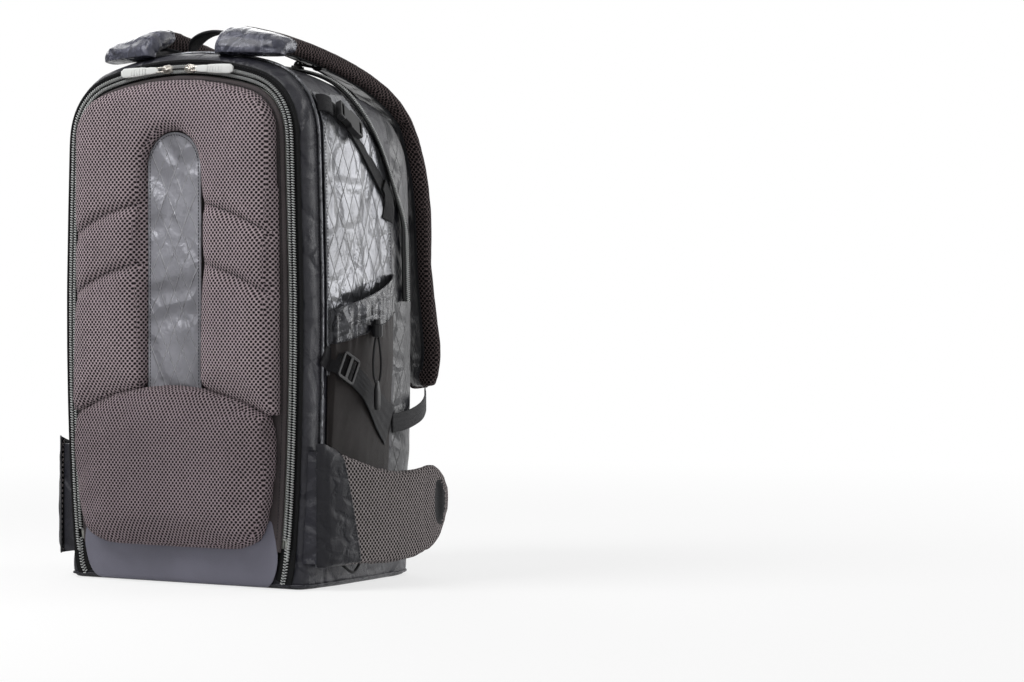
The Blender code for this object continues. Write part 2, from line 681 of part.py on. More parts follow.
def build_sliders():
    """Two sliders that meet at the top of the main zip, with their pulls laid outwards."""
    crown_z = ZIP_TOP - CROWN_R
    for word, sign in (("left", -1), ("right", 1)):
        turn = sign * 0.0145 / CROWN_R
        along = (sign * math.cos(turn), 0, -sign * math.sin(turn))
        point = Vector((CROWN_R * math.sin(turn), ZIP_Y + SLIDER_D, crown_z + CROWN_R * math.cos(turn)))
        made = slider(f"zip_slider_{word}", point, along, (0, -1, 0), nickel())
        centre = axis_mark(f"zip_slider_{word}_axis", (0, ZIP_Y, crown_z))
        at_joint(made, (0, ZIP_Y, crown_z), centre)
        pivot = point + Vector((0, -BAIL_UP, 0))
        pull(f"zip_pull_{word}", pivot, along, (0, -1, 0), pull_grip())


# ---------------------------------------------------------------- carrying

# A strap's middle line as depth and height, and how far its outer edge rolls down or towards the bag, in degrees
STRAP_LINE = [(0.0110, 0.5385, 13), (0.0130, 0.5455, 13), (0.0200, 0.5520, 13), (0.0330, 0.5550, 14),
              (0.0600, 0.5535, 15), (0.1000, 0.5465, 16), (0.1500, 0.5350, 17), (0.2050, 0.5160, 18),
              (0.2480, 0.4860, 20), (0.2740, 0.4400, 23), (0.2850, 0.3850, 25), (0.2870, 0.3250, 26),
              (0.2940, 0.2600, 26), (0.2970, 0.2250, 26), (0.2900, 0.1930, 26)]


def rounded_ring(centre, wide, thick, half_width, half_thick):
    """A flat oval section of ten points about a centre."""
    shape = [(1.0, 0.35), (0.88, 0.85), (0.0, 1.0), (-0.88, 0.85), (-1.0, 0.35)]
    shape = shape + [(x, -y) for x, y in reversed(shape)]
    return [tuple(centre + wide * (x * half_width) + thick * (y * half_thick)) for x, y in shape]


def build_straps():
    """Padded shoulder straps, turned back over the top and hanging on the far side."""
    line = smooth(STRAP_LINE, 2)
    for word, sign in (("left", -1), ("right", 1)):
        path = [(sign * (STRAP_X + 0.016 * (k / (len(line) - 1)) ** 2), ZIP_Y + depth, z)
                for k, (depth, z, _) in enumerate(line)]
        p, t, _ = frames(path, (0, 0.6, 1.0))
        rings = []
        for k in range(len(p)):
            u = k / (len(p) - 1)
            up = np.cross((1.0, 0.0, 0.0), t[k])
            roll = sign * math.radians(line[k][2])
            flat = math.cos(roll) * np.array([1.0, 0.0, 0.0]) - math.sin(roll) * up / np.linalg.norm(up)
            thick = np.cross(t[k], flat)
            thick /= np.linalg.norm(thick)
            taper = 1.0 if u < 0.86 else 1.0 - 0.35 * ((u - 0.86) / 0.14) ** 2
            rings.append(rounded_ring(p[k], flat, thick, STRAP_W / 2 * taper, STRAP_T / 2))
        piece = loft(f"shoulder_strap_{word}", rings, air_mesh())
        at_joint(piece, (sign * STRAP_X, ZIP_Y + STRAP_PIVOT[0], STRAP_PIVOT[1]))


def build_handle():
    """The grab handle, an arch of webbing between the shoulder straps, with its feet rounded about the swing axis."""
    depth, foot = HANDLE_PIVOT
    across = HANDLE_SPAN / 2
    heel = [(across, -HANDLE_HEEL * math.cos(a), max(HANDLE_HEEL * math.sin(a), 0.0008))
            for a in np.radians([0, 25, 50, 75])]
    arch = [(across * math.cos(a), HANDLE_RISE * math.sin(a) ** 0.8) for a in np.linspace(0.0, math.pi, 11)]
    arch = [(x, z, float(np.interp(z, [0.0, 0.004, 0.018], [HANDLE_HEEL, 0.0042, 0.0115]))) for x, z in arch]
    line = heel + arch + [(-x, z, half) for x, z, half in reversed(heel)]
    p = np.array([(x, ZIP_Y + depth, foot + z) for x, z, _ in line])
    t = np.gradient(p, axis=0)
    t /= np.linalg.norm(t, axis=1)[:, None]
    wide = np.array([0.0, 1.0, 0.0])
    rings = [rounded_ring(p[k], wide, np.cross(t[k], wide), line[k][2], 0.0019) for k in range(len(p))]
    piece = loft("grab_handle", rings, webbing())
    at_joint(piece, (0, ZIP_Y + depth, foot))


WING_LINE = [(0.1690, 0.0075), (0.1735, 0.0240), (0.1800, 0.0480), (0.1855, 0.0780), (0.1890, 0.1100),
             (0.1895, 0.1400), (0.1875, 0.1680), (0.1825, 0.1920), (0.1765, 0.2090)]
# Depths, and the heights of a wing's lower and upper edges there
WING_EDGES = [(0.0075, 0.0240, 0.1480), (0.0240, 0.0230, 0.1425), (0.0480, 0.0210, 0.1345), (0.0780, 0.0200, 0.1255),
              (0.1100, 0.0200, 0.1200), (0.1400, 0.0230, 0.1205), (0.1680, 0.0300, 0.1225), (0.1850, 0.0400, 0.1200),
              (0.1980, 0.0540, 0.1100), (0.2090, 0.0700, 0.0960)]


def build_wings():
    """Padded hip wings, folded back along the bag's sides."""
    line = smooth(WING_LINE, 2)
    for word, sign in (("left", -1), ("right", 1)):
        path = [(sign * x, ZIP_Y + depth, 0.0) for x, depth in line]
        p, t, _ = frames(path, (0, 0, 1))
        rings = []
        for k in range(len(p)):
            depth = line[k][1]
            lower, upper = (float(np.interp(depth, [e[0] for e in WING_EDGES], [e[n] for e in WING_EDGES]))
                            for n in (1, 2))
            thick = np.cross(t[k], (0, 0, 1.0)) * sign
            centre = p[k] + np.array([0, 0, (lower + upper) / 2])
            half = np.interp(depth, [0.0075, 0.030], [WING_ROOT_T / 2, WING_T / 2])
            rings.append(rounded_ring(centre, np.array([0, 0, 1.0]), thick, (upper - lower) / 2, half))
        piece = loft(f"hip_wing_{word}", rings, air_mesh())
        well = oval_tool(f"wing_window_{word}", sign)
        cut(piece, well)
        at_joint(piece, (sign * WING_PIVOT[0], ZIP_Y + WING_PIVOT[1], 0.08))
        build_wing_root(word, sign)


def build_wing_root(word, sign):
    """The sewn wedge that carries a wing on the shell's narrowing side."""
    rings = []
    for z in (0.027, 0.033, 0.040, 0.050, 0.065, 0.085, 0.110, 0.139):
        inner = [(skin_x(depth, z) + 0.0015, depth) for depth in (0.004, 0.010, 0.016, 0.022)]
        outer = [(WING_PIVOT[0] - WING_ROOT_T / 2 - 0.0010, depth) for depth in (0.020, 0.014, 0.006)]
        rings.append([(sign * x, ZIP_Y + depth, z) for x, depth in inner + outer])
    loft(f"wing_root_{word}", rings, laminate())


def oval_tool(name, sign):
    """An oval plug that sinks the window into the outer face of a wing, near its tip."""
    bm = bmesh.new()
    bmesh.ops.create_cone(bm, cap_ends=True, segments=14, radius1=1.0, radius2=1.0, depth=0.020)
    bmesh.ops.scale(bm, verts=bm.verts, vec=(0.0115, 0.0240, 1.0))
    place = (Matrix.Translation((sign * 0.1955, ZIP_Y + 0.1840, 0.081))
             @ Matrix.Rotation(sign * math.radians(16), 4, "Z") @ Matrix.Rotation(math.pi / 2, 4, "Y")
             @ Matrix.Rotation(math.pi / 2, 4, "Z"))
    bmesh.ops.transform(bm, matrix=place, verts=bm.verts)
    return mesh_piece(name, bm, webbing(), guides)


# ---------------------------------------------------------------- sides

def pocket_mouth(depth):
    """Height of the bottle pocket's sloping mouth."""
    return 0.281 + 0.30 * (depth - POCKET_D[0])


def pocket_bulge(z):
    """How far the pocket stands off the shell at a height."""
    return float(np.interp(z, [0.03, 0.15, 0.23, 0.32], [0.005, 0.0085, 0.018, 0.021]))


def build_pocket(word, sign):
    """A stretch bottle pocket: one thin wall that stands off the shell, and a floor."""
    start, end = POCKET_D
    spread = np.linspace(0, 1, 9)

    def wall(z_of, inset):
        points = []
        for u in spread:
            depth = start + inset + (end - start - 2 * inset) * u
            z = z_of(depth)
            stand = pocket_bulge(z) * math.sin(math.pi * (0.06 + 0.88 * u)) ** 0.7
            points.append((sign * (skin_x(depth, min(z, 0.34)) + 0.0012 + stand - inset), ZIP_Y + depth, z))
        return points

    def shell_line(z_of):
        return [(sign * (skin_x(start + (end - start) * u, z_of(0)) + 0.0012), ZIP_Y + start + (end - start) * u,
                 z_of(0)) for u in spread]

    rings = [wall(level, 0) + list(reversed(shell_line(level))) for level in (lambda d: 0.0300, lambda d: 0.0335)]
    for height in (0.0336, 0.045, 0.060, 0.085, 0.15, 0.19, 0.23):
        rings.append(wall(lambda d: height, 0) + list(reversed(wall(lambda d: height, POCKET_WALL))))
    rings.append(wall(pocket_mouth, 0) + list(reversed(wall(pocket_mouth, POCKET_WALL))))
    loft(f"bottle_pocket_{word}", rings, stretch_cloth())


def pocket_x(depth, z):
    """X of the pocket's outer face."""
    start, end = POCKET_D
    u = min(max((depth - start) / (end - start), 0), 1)
    stand = pocket_bulge(z) * math.sin(math.pi * (0.06 + 0.88 * u)) ** 0.7
    inside = start - 0.016 < depth < end + 0.012
    return skin_x(depth, min(z, 0.34)) + 0.0012 + (stand if inside else 0.0)


def build_side(word, sign):
    """What hangs on one side: pocket, drawcord, compression strap and lower strap."""
    build_pocket(word, sign)
    route = [(0.0280, 0.489), (0.0460, 0.484), (0.0680, 0.4725), (0.0930, 0.452), (0.1200, 0.427), (0.1480, 0.401)]
    path = [(sign * (skin_x(d, z) + 0.0022), ZIP_Y + d, z) for d, z in smooth(route, 2)]
    ribbon(f"compression_webbing_{word}", path, (sign, 0, 0.45), 0.019, 0.0015, webbing())
    middle = Vector((sign * (skin_x(0.068, 0.4725) + 0.0100), ZIP_Y + 0.068, 0.4725))
    ahead = (Vector(path[5]) - Vector(path[3])).normalized()
    buckle(f"side_buckle_{word}", middle, ahead, Vector((sign, 0, 0.62)), black_plastic())
    route = smooth([(0.0200, 0.236), (0.0450, 0.222), (0.0700, 0.206), (0.0950, 0.188), (0.1200, 0.172),
                    (0.1440, 0.161)], 2)
    widths = np.interp(np.arange(len(route)), [0, 5, len(route) - 1], [0.022, 0.022, 0.044])
    path = [(sign * (max(pocket_x(d, z + k * w) for k in (-0.6, 0, 0.6)) + 0.0018), ZIP_Y + d, z)
            for (d, z), w in zip(route, widths)]
    ribbon(f"anchor_strap_{word}", path, (sign, 0, 0), widths, 0.0015, webbing())
    centre = Vector(path[2]) + Vector((sign * 0.0019, 0, 0))
    ahead = (Vector(path[3]) - Vector(path[1])).normalized()
    tri_glide(f"tri_glide_{word}", centre, ahead, Vector((sign, 0, 0)), black_plastic())
    lock = Vector((sign * (pocket_x(0.083, 0.262) + 0.0075), ZIP_Y + 0.083, 0.262))
    cord_lock(f"pocket_cord_lock_{word}", lock, 0.0058, 0.018)
    loop = [(-0.0022, 0.2524), (-0.0050, 0.2420), (-0.0068, 0.2260), (-0.0050, 0.2110), (0.0, 0.2055),
            (0.0050, 0.2110), (0.0068, 0.2260), (0.0050, 0.2420), (0.0022, 0.2524)]
    tube(f"pocket_cord_{word}", [(lock.x, lock.y + y, z) for y, z in smooth(loop, 3)], 0.0025, webbing())
    route = [(0.1545, 0.1500, 0.1625), (0.1530, 0.1800, 0.1655), (0.1460, 0.2140, 0.1725), (0.1290, 0.2470, 0.1800),
             (0.1080, 0.2770, 0.1855)]
    path = [(sign * x, ZIP_Y + depth, z) for x, depth, z in smooth(route, 3)]
    ribbon(f"strap_webbing_{word}", path, (sign, 0.6, 0), 0.020, 0.0015, webbing())


def local_matrix(centre, along, out):
    """A frame at a point: X along, Z outwards."""
    along = along.normalized()
    out = (out - along * out.dot(along)).normalized()
    return Matrix.Translation(centre) @ Matrix((along, out.cross(along), out)).transposed().to_4x4()


def buckle(name, centre, along, out, finish):
    """A side-release buckle, closed: the socket with its two side windows, and the prongs in them."""
    half = [(-0.0200, 0.0000), (-0.0200, 0.0110), (-0.0130, 0.0115), (-0.0110, 0.0095), (-0.0030, 0.0095),
            (-0.0010, 0.0125), (0.0120, 0.0125), (0.0200, 0.0105), (0.0200, 0.0000)]
    outline = half[1:-1] + [(x, -y) for x, y in reversed(half[1:-1])]
    slot = [(-0.0172, 0.0080), (-0.0142, 0.0080), (-0.0142, -0.0080), (-0.0172, -0.0080)]
    far = [(0.0142, 0.0080), (0.0172, 0.0080), (0.0172, -0.0080), (0.0142, -0.0080)]
    flat_piece(name, [outline, slot, far], 0.0066, local_matrix(centre, along, out), finish)


def tri_glide(name, centre, along, out, finish):
    """A three-bar slider on the lower strap."""
    outline = arc(0.0085, 0.0110, 0.0035, 0, 90, 2) + arc(-0.0085, 0.0110, 0.0035, 90, 180, 2)
    outline += arc(-0.0085, -0.0110, 0.0035, 180, 270, 2) + arc(0.0085, -0.0110, 0.0035, 270, 360, 2)
    slots = [[(a, 0.0112), (b, 0.0112), (b, -0.0112), (a, -0.0112)] for a, b in ((-0.0092, -0.0018), (0.0018, 0.0092))]
    flat_piece(name, [outline, *slots], 0.0028, local_matrix(centre + out * 0.0018, along, out), finish)


def cord_lock(name, centre, radius, height):
    """A barrel cord lock: a turned body with a flange under its button."""
    profile = [(0.0, height / 2), (radius * 0.62, height / 2), (radius * 0.70, height * 0.22), (radius, height * 0.18),
               (radius, -height * 0.42), (radius * 0.8, -height / 2), (0.0, -height / 2)]
    bm = bmesh.new()
    verts = [bm.verts.new((r, 0, z)) for r, z in profile]
    edges = [bm.edges.new(pair) for pair in zip(verts, verts[1:])]
    bmesh.ops.spin(bm, geom=verts + edges, cent=(0, 0, 0), axis=(0, 0, 1), angle=2 * math.pi, steps=10,
                   use_merge=True)
    bmesh.ops.remove_doubles(bm, verts=bm.verts, dist=1e-5)
    bmesh.ops.translate(bm, verts=bm.verts, vec=centre)
    return mesh_piece(name, bm, black_plastic())


def main():
    for old in list(bpy.data.objects):
        bpy.data.objects.remove(old, do_unlink=True)
    for home in (parts, guides):
        bpy.context.scene.collection.children.link(home)
    build_shell()
    build_main_zip()
    build_laptop_zip()
    build_rim()
    build_dividers()
    build_lid()
    build_sliders()
    build_straps()
    build_handle()
    build_wings()
    for word, sign in (("left", -1), ("right", 1)):
        build_side(word, sign)


main()
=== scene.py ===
"""Looks for a camera backpack: mesh padding, laminated cloth, zips, webbing and linings built round its frame."""

import json
import math

import bmesh
import bpy
import numpy as np
from bpy.props import FloatProperty, FloatVectorProperty, PointerProperty
from bpy.types import Operator, Panel, PropertyGroup
from mathutils import Matrix, Vector, noise
from mathutils.bvhtree import BVHTree


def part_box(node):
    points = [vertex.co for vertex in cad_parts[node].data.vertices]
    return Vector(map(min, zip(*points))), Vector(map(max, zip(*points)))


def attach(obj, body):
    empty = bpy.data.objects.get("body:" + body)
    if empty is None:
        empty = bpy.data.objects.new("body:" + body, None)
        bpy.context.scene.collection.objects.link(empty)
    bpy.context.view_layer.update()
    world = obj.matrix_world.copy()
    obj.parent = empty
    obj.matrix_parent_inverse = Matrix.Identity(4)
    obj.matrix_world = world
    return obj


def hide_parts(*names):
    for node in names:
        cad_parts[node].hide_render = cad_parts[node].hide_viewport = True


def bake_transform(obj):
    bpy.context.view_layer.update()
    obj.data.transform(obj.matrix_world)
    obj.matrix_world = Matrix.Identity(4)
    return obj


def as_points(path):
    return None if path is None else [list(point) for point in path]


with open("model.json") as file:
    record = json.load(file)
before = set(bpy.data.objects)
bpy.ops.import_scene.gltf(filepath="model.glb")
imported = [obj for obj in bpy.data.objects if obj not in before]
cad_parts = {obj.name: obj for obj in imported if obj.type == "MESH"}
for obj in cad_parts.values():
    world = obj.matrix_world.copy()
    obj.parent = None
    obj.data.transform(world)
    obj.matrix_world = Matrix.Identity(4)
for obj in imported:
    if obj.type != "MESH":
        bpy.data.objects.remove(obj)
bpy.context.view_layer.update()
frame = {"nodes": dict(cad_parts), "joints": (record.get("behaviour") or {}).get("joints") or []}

bl_info = {
    "name": "Camera Backpack",
    "version": (1, 0, 0),
    "blender": (4, 5, 0),
    "location": "View3D > Sidebar > Bag",
    "description": "Dresses the frame of a camera backpack in padding, cloth, zips and webbing",
    "category": "Object",
}

JOINT = {joint["name"]: joint for joint in frame["joints"]}
HINGE = Vector(JOINT["lid_hinge"]["pos_m"])
ZIP_Y = HINGE.y                      # plane of the main zip
SIDES = (("left", -1), ("right", 1))
RING = 288                           # points round a section of the bag
AMBIENT = 0.30                       # strength of the sky where it lights the bag
ZIP_FOOT = 0.0300                    # height where the bag's half of the zip joins the closed teeth at the foot
ZIP_INSET = 0.0018                   # the zip's middle line, inside the edge of the shell's opening


def srgb(red, green, blue):
    """A colour written as 0 to 255 in each channel, as a linear RGBA."""
    return tuple((c / 255 / 12.92) if c <= 10 else ((c / 255 + 0.055) / 1.055) ** 2.4
                 for c in (red, green, blue)) + (1.0,)


# ---------------------------------------------------------------- measuring the frame

def merged(node):
    """A bmesh of a frame piece, with its loose triangles joined."""
    bm = bmesh.new()
    bm.from_mesh(frame["nodes"][node].data)
    bmesh.ops.remove_doubles(bm, verts=bm.verts, dist=1e-5)
    return bm


def slices(node, depth):
    """Loops of X and Z where a plane at a depth behind the zip meets a frame piece, the largest first."""
    bm = merged(node)
    cut = bmesh.ops.bisect_plane(bm, geom=bm.verts[:] + bm.edges[:] + bm.faces[:],
                                 plane_co=(0, ZIP_Y + depth, 0), plane_no=(0, 1, 0))["geom_cut"]
    near = {}
    for edge in cut:
        if isinstance(edge, bmesh.types.BMEdge):
            a, b = edge.verts
            near.setdefault(a, []).append(b)
            near.setdefault(b, []).append(a)
    loops, left = [], dict.fromkeys(near)
    while left:
        loop, ahead = [], [next(iter(left))]
        while ahead:
            here = ahead[0]
            del left[here]
            loop.append(here)
            ahead = [v for v in near[here] if v in left]
        loops.append(np.array([(v.co.x, v.co.z) for v in loop]))
    bm.free()
    return sorted(loops, key=lambda p: -np.prod(np.ptp(p, axis=0)))


def spots(x, y, z):
    """Points from their coordinates, any of which may be one number for them all."""
    return np.stack(np.broadcast_arrays(x, y, z), -1).astype(float)


def along_of(path):
    """Distances along a path."""
    return np.concatenate([[0], np.cumsum(np.linalg.norm(np.diff(path, axis=0), axis=1))])


def evened(loop, count, closed=True):
    """Points spaced evenly along a line; a closed loop starts at its top centre and goes towards +X."""
    if closed:
        dense = evened(np.vstack([loop, loop[:1]]), 3000, False)[:-1]
        dense = np.roll(dense, -int(np.argmax(dense[:, -1] - 8 * abs(dense[:, 0]))), 0)
        if dense[20, 0] < dense[0, 0]:
            dense = np.roll(dense[::-1], 1, 0)
        return evened(np.vstack([dense, dense[:1]]), count + 1, False)[:-1]
    length = along_of(loop)
    at = np.linspace(0, length[-1], count)
    return np.stack([np.interp(at, length, loop[:, k]) for k in range(loop.shape[1])], 1)


def relaxed(line, rounds, closed=True):
    """A line with its corners eased."""
    line = np.array(line, float)
    for _ in range(rounds):
        if closed:
            line = 0.5 * line + 0.25 * (np.roll(line, 1, 0) + np.roll(line, -1, 0))
        else:
            line[1:-1] = 0.5 * line[1:-1] + 0.25 * (line[:-2] + line[2:])
    return line


def curved(points, count):
    """A smooth line through points, spaced evenly."""
    p = np.array([points[0], *points, points[-1]], float)
    out = []
    for a, b, c, d in zip(p, p[1:], p[2:], p[3:]):
        for t in np.linspace(0, 1, 12, endpoint=False):
            out.append(0.5 * (2 * b + (c - a) * t + (2 * a - 5 * b + 4 * c - d) * t ** 2
                              + (3 * b - a - 3 * c + d) * t ** 3))
    return evened(np.array(out + [p[-1]]), count, False)


def section(node, depth, which=0):
    """One eased loop of the bag's section at a depth, as points in space."""
    loop = relaxed(evened(slices(node, depth)[which], RING), 6)
    return spots(loop[:, 0], ZIP_Y + depth, loop[:, 1])


def moved_out(line, distance):
    """A ring in X and Z, or one in space at a single depth, moved to its left, which is outwards on a section."""
    p = line[:, [0, -1]]
    t = unit(np.roll(p, -1, 0) - np.roll(p, 1, 0))
    out = np.array(line, float)
    out[:, 0] -= t[:, 1] * distance
    out[:, -1] += t[:, 0] * distance
    return out


ZIP_LINE = section("main_shell", 0.0002, 1)


def zip_line(low):
    """The main zip's open line, from its right lower end over the top to the left one."""
    loop = moved_out(ZIP_LINE, -ZIP_INSET)
    half = [p for p in loop[:RING // 2 + 1] if p[2] > low and (p[0] > 0.11 or p[2] > 0.3)]
    return np.array(half[::-1] + [p * (-1, 1, 1) for p in half[1:]])


# ---------------------------------------------------------------- making pieces

def new_piece(name, bm, *finishes, body="bag", slot=None, stands_for=(), smooth=True):
    """A piece from a bmesh, in its finishes, riding on a body of the frame."""
    mesh = bpy.data.meshes.new(name)
    bm.to_mesh(mesh)
    bm.free()
    for finish in finishes:
        mesh.materials.append(finish_of(finish) if isinstance(finish, str) else finish)
    if smooth:
        mesh.shade_smooth()
    piece = bpy.data.objects.new(name, mesh)
    bpy.context.scene.collection.objects.link(piece)
    return placed(piece, body, stands_for)


def placed(piece, body, stands_for=()):
    """A piece on its body and the frame pieces that it stands for."""
    if body:
        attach(piece, body)
    if stands_for:
        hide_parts(*stands_for)
    return piece


def grid_mesh(points, towards=None, closed=False):
    """A bmesh through rows of points, made from a flat grid, with a map in metres along its rows and columns."""
    if closed:
        points = np.concatenate([points, points[:, :1]], 1)
    rows, cols = points.shape[:2]
    bm = bmesh.new()
    bmesh.ops.create_grid(bm, x_segments=cols - 1, y_segments=rows - 1, size=1.0)
    across, along = along_of(points[rows // 2]), along_of(points[:, cols // 2])
    uv = bm.loops.layers.uv.new("UVMap")
    place = {vert: (round((vert.co.y + 1) / 2 * (rows - 1)), round((vert.co.x + 1) / 2 * (cols - 1)))
             for vert in bm.verts}
    for face in bm.faces:
        for corner in face.loops:
            row, col = place[corner.vert]
            corner[uv].uv = (across[col], along[row])
    for vert, (row, col) in place.items():
        vert.co = points[row, col]
    bmesh.ops.remove_doubles(bm, verts=bm.verts, dist=1e-6)
    bm.normal_update()
    if towards is not None:
        middle = Vector((0, 0.01, 0.27))
        lean = 0.0
        for face in bm.faces:
            aim = face.calc_center_median() - middle if towards in ("out", "in") else Vector(towards)
            lean += face.normal.dot(aim) * face.calc_area()
        if (lean < 0) != (towards == "in"):
            bmesh.ops.reverse_faces(bm, faces=bm.faces[:])
    else:
        bmesh.ops.recalc_face_normals(bm, faces=bm.faces[:])
    return bm


def cloth(name, rows, finish, towards=None, closed=False, thick=0.0, rounded=False, **how):
    """A piece of cloth through rows of points, with a thickness and eased between its rows where that is asked."""
    piece = new_piece(name, grid_mesh(np.array(rows), towards=towards, closed=closed), finish, **how)
    if thick:
        modified(piece, "SOLIDIFY", thickness=thick, offset=-1.0)
    if rounded:
        subdivided(piece)
    return piece


def unit(v):
    """Vectors scaled to a length of one."""
    return v / np.maximum(np.linalg.norm(v, axis=-1, keepdims=True), 1e-9)


def travel(path, closed=False):
    """Directions along a path."""
    if closed:
        return unit(np.roll(path, -1, 0) - np.roll(path, 1, 0))
    return unit(np.gradient(path, axis=0))


def outward(t):
    """The ways out of a section, from the directions along it."""
    return spots(-t[:, 2], 0, t[:, 0])


def capped(rows):
    """Rows round a tube, with its ends drawn in to a point."""
    ends = [np.broadcast_to(row.mean(0), row.shape)[None] for row in (rows[0], rows[-1])]
    return np.concatenate([ends[0], rows, ends[1]])


def square_to(t, up):
    """The ways up and across at each point of a path, square to its directions."""
    n = np.broadcast_to(np.array(up, float), t.shape)
    n = unit(n - t * np.sum(n * t, 1)[:, None])
    return n, np.cross(t, n)


def swept_mesh(path, shape, up, closed=False, sizes=None, heights=None):
    """A bmesh of a shape, given as (across, up), carried along a path; its ends are closed."""
    path, shape = np.array(path, float), np.array(shape, float)
    n, w = square_to(travel(path, closed), up)
    sizes = np.ones(len(path)) if sizes is None else np.array(sizes)
    heights = sizes if heights is None else heights * np.ones(len(path))
    rows = (path[:, None] + w[:, None] * (shape[None, :, 0, None] * sizes[:, None, None])
            + n[:, None] * (shape[None, :, 1, None] * heights[:, None, None]))
    return grid_mesh(np.concatenate([rows, rows[:1]]) if closed else capped(rows), closed=True)


def round_up(path):
    """Face directions for a round cord that don't twist as it turns."""
    t = travel(np.array(path, float))
    n = np.cross(t[0], (0.3, 0.5, 0.8))
    out = []
    for k in range(len(t)):
        n = n - t[k] * np.dot(n, t[k])
        n = n / np.linalg.norm(n)
        out.append(n)
    return np.array(out)


def oval(wide, thick, count=12, square=1.0):
    """A closed flat shape; square below 1 fills its corners."""
    a = np.linspace(0, 2 * math.pi, count, endpoint=False)
    return np.stack([wide / 2 * np.sign(np.cos(a)) * abs(np.cos(a)) ** square,
                     thick / 2 * np.sign(np.sin(a)) * abs(np.sin(a)) ** square], 1)


def cord_piece(name, path, diameter, finish, **how):
    """A round cord along a path."""
    return new_piece(name, swept_mesh(path, oval(diameter, diameter, 10), round_up(path)), finish, **how)


def strap_piece(name, path, up, wide, finish="webbing", thick=0.0017, slot="webbing", **how):
    """Flat webbing along a path, its inner face on the path."""
    shape = oval(wide, thick, 16, 0.35) + (0, thick / 2)
    return new_piece(name, swept_mesh(path, shape, up), finish, slot=slot, **how)


def repeated(name, shape, places, *finishes, **how):
    """One piece from many copies of a small shape."""
    bm = bmesh.new()
    for place in places:
        copy = shape.copy()
        copy.transform(place)
        bm.from_mesh(copy)
        bpy.data.meshes.remove(copy)
    bpy.data.meshes.remove(shape)
    return new_piece(name, bm, *finishes, **how)


def small_block(size, bevel):
    """A little block with eased edges, as a mesh to repeat."""
    bm = bmesh.new()
    bmesh.ops.create_cube(bm, size=1.0)
    bmesh.ops.scale(bm, verts=bm.verts, vec=size)
    bmesh.ops.bevel(bm, geom=bm.edges[:] + bm.verts[:], offset=bevel, segments=1, profile=0.5, affect="EDGES",
                    material=-1)
    mesh = bpy.data.meshes.new("block")
    bm.to_mesh(mesh)
    bm.free()
    return mesh


def basis(at, along, up):
    """A placing matrix: X along, Z up."""
    along = Vector(along).normalized()
    up = Vector(up)
    up = (up - along * up.dot(along)).normalized()
    return Matrix.Translation(at) @ Matrix((along, up.cross(along), up)).transposed().to_4x4()


def stitched(name, path, up, pitch=0.0034, length=0.0023, wide=0.0007, **how):
    """A running stitch along a path: short threads that stand just proud of the cloth."""
    path = np.array(path, float)
    count = max(int(along_of(path)[-1] / pitch), 2)
    line = evened(path, count, False)
    ups = np.broadcast_to(np.array(up, float), path.shape)
    if len(ups) != count:
        ups = evened(ups, count, False) if np.ptp(ups, axis=0).sum() > 0 else np.broadcast_to(ups[0], line.shape)
    places = [basis(p, t, n) for p, t, n in zip(line, travel(line), ups)]
    return repeated(name, small_block((length, wide, wide * 0.8), wide * 0.3), places, "thread", **how)


def surface_of(piece):
    """A search tree of a piece's or a frame node's surface."""
    if isinstance(piece, str):
        bm = merged(piece)
    else:
        bm = bmesh.new()
        bpy.context.view_layer.update()
        shown = piece.evaluated_get(bpy.context.evaluated_depsgraph_get())
        bm.from_mesh(shown.to_mesh())
        shown.to_mesh_clear()
    tree = BVHTree.FromBMesh(bm)
    bm.free()
    return tree


def laid_on(tree, points, direction, lift, reach=0.08):
    """Points dropped on a surface along a direction, and lifted off it. A miss keeps its own place in a grid, and is
    left out of a line."""
    flat = np.array(points, float).reshape(-1, 3)
    aim = Vector(direction).normalized()
    out = []
    if np.ndim(points) == 2:
        hits = [tree.ray_cast(Vector(p) - aim * reach, aim, reach * 2)[0] for p in flat]
        return np.array([hit - aim * lift for hit in hits if hit is not None])
    for p in flat:
        hit, normal, _, _ = tree.ray_cast(Vector(p) - aim * reach, aim, reach * 2)
        out.append(Vector(p) if hit is None else hit - aim * lift)
    return np.array(out).reshape(np.shape(points))


def pushed(points, amount, fade, height):
    """Rows of points moved along their own normals by a height that depends on their place."""
    points = np.array(points, float)
    n = unit(np.cross(np.gradient(points, axis=0), np.gradient(points, axis=1)))
    push = np.array([[height(Vector(p)) for p in row] for row in points]) * fade
    return points + n * (push * amount)[..., None]


def rumpled(points, amount, scale, seed=0.0, fade=1.0):
    """Rows of points pushed by soft noise, as cloth that isn't pulled tight."""
    shift = Vector((seed, seed * 1.7, -seed))

    def height(p):
        q = p * scale + shift
        return noise.noise(q) + 0.5 * noise.noise(q * 2.3)

    return pushed(points, amount, fade, height)


def creased(points, amount, scale, seed=0.0, fade=1.0):
    """Rows of points with the long sharp folds that film-faced cloth takes."""
    shift = Vector((seed, -seed, 2 * seed))

    def height(p):
        q = Vector((p.x, p.y * 1.5, p.z * 0.75)) * scale + shift
        return noise.ridged_multi_fractal(q, 0.9, 2.1, 3, 0.9, 1.6) - 0.9 + 0.8 * noise.noise(q * 0.6)

    return pushed(points, amount, fade, height)


def edge_fade(rows, cols, rim=0.12):
    """1 in the middle of a patch and 0 at its edges."""
    u = np.clip(np.minimum(np.linspace(0, 1, rows), np.linspace(1, 0, rows)) / rim, 0, 1)
    v = np.clip(np.minimum(np.linspace(0, 1, cols), np.linspace(1, 0, cols)) / rim, 0, 1)
    return (u * u * (3 - 2 * u))[:, None] * (v * v * (3 - 2 * v))[None]


def modified(piece, kind, **values):
    """Add a modifier with its values."""
    step = piece.modifiers.new(kind.lower(), kind)
    for key, value in values.items():
        setattr(step, key, value)
    return step


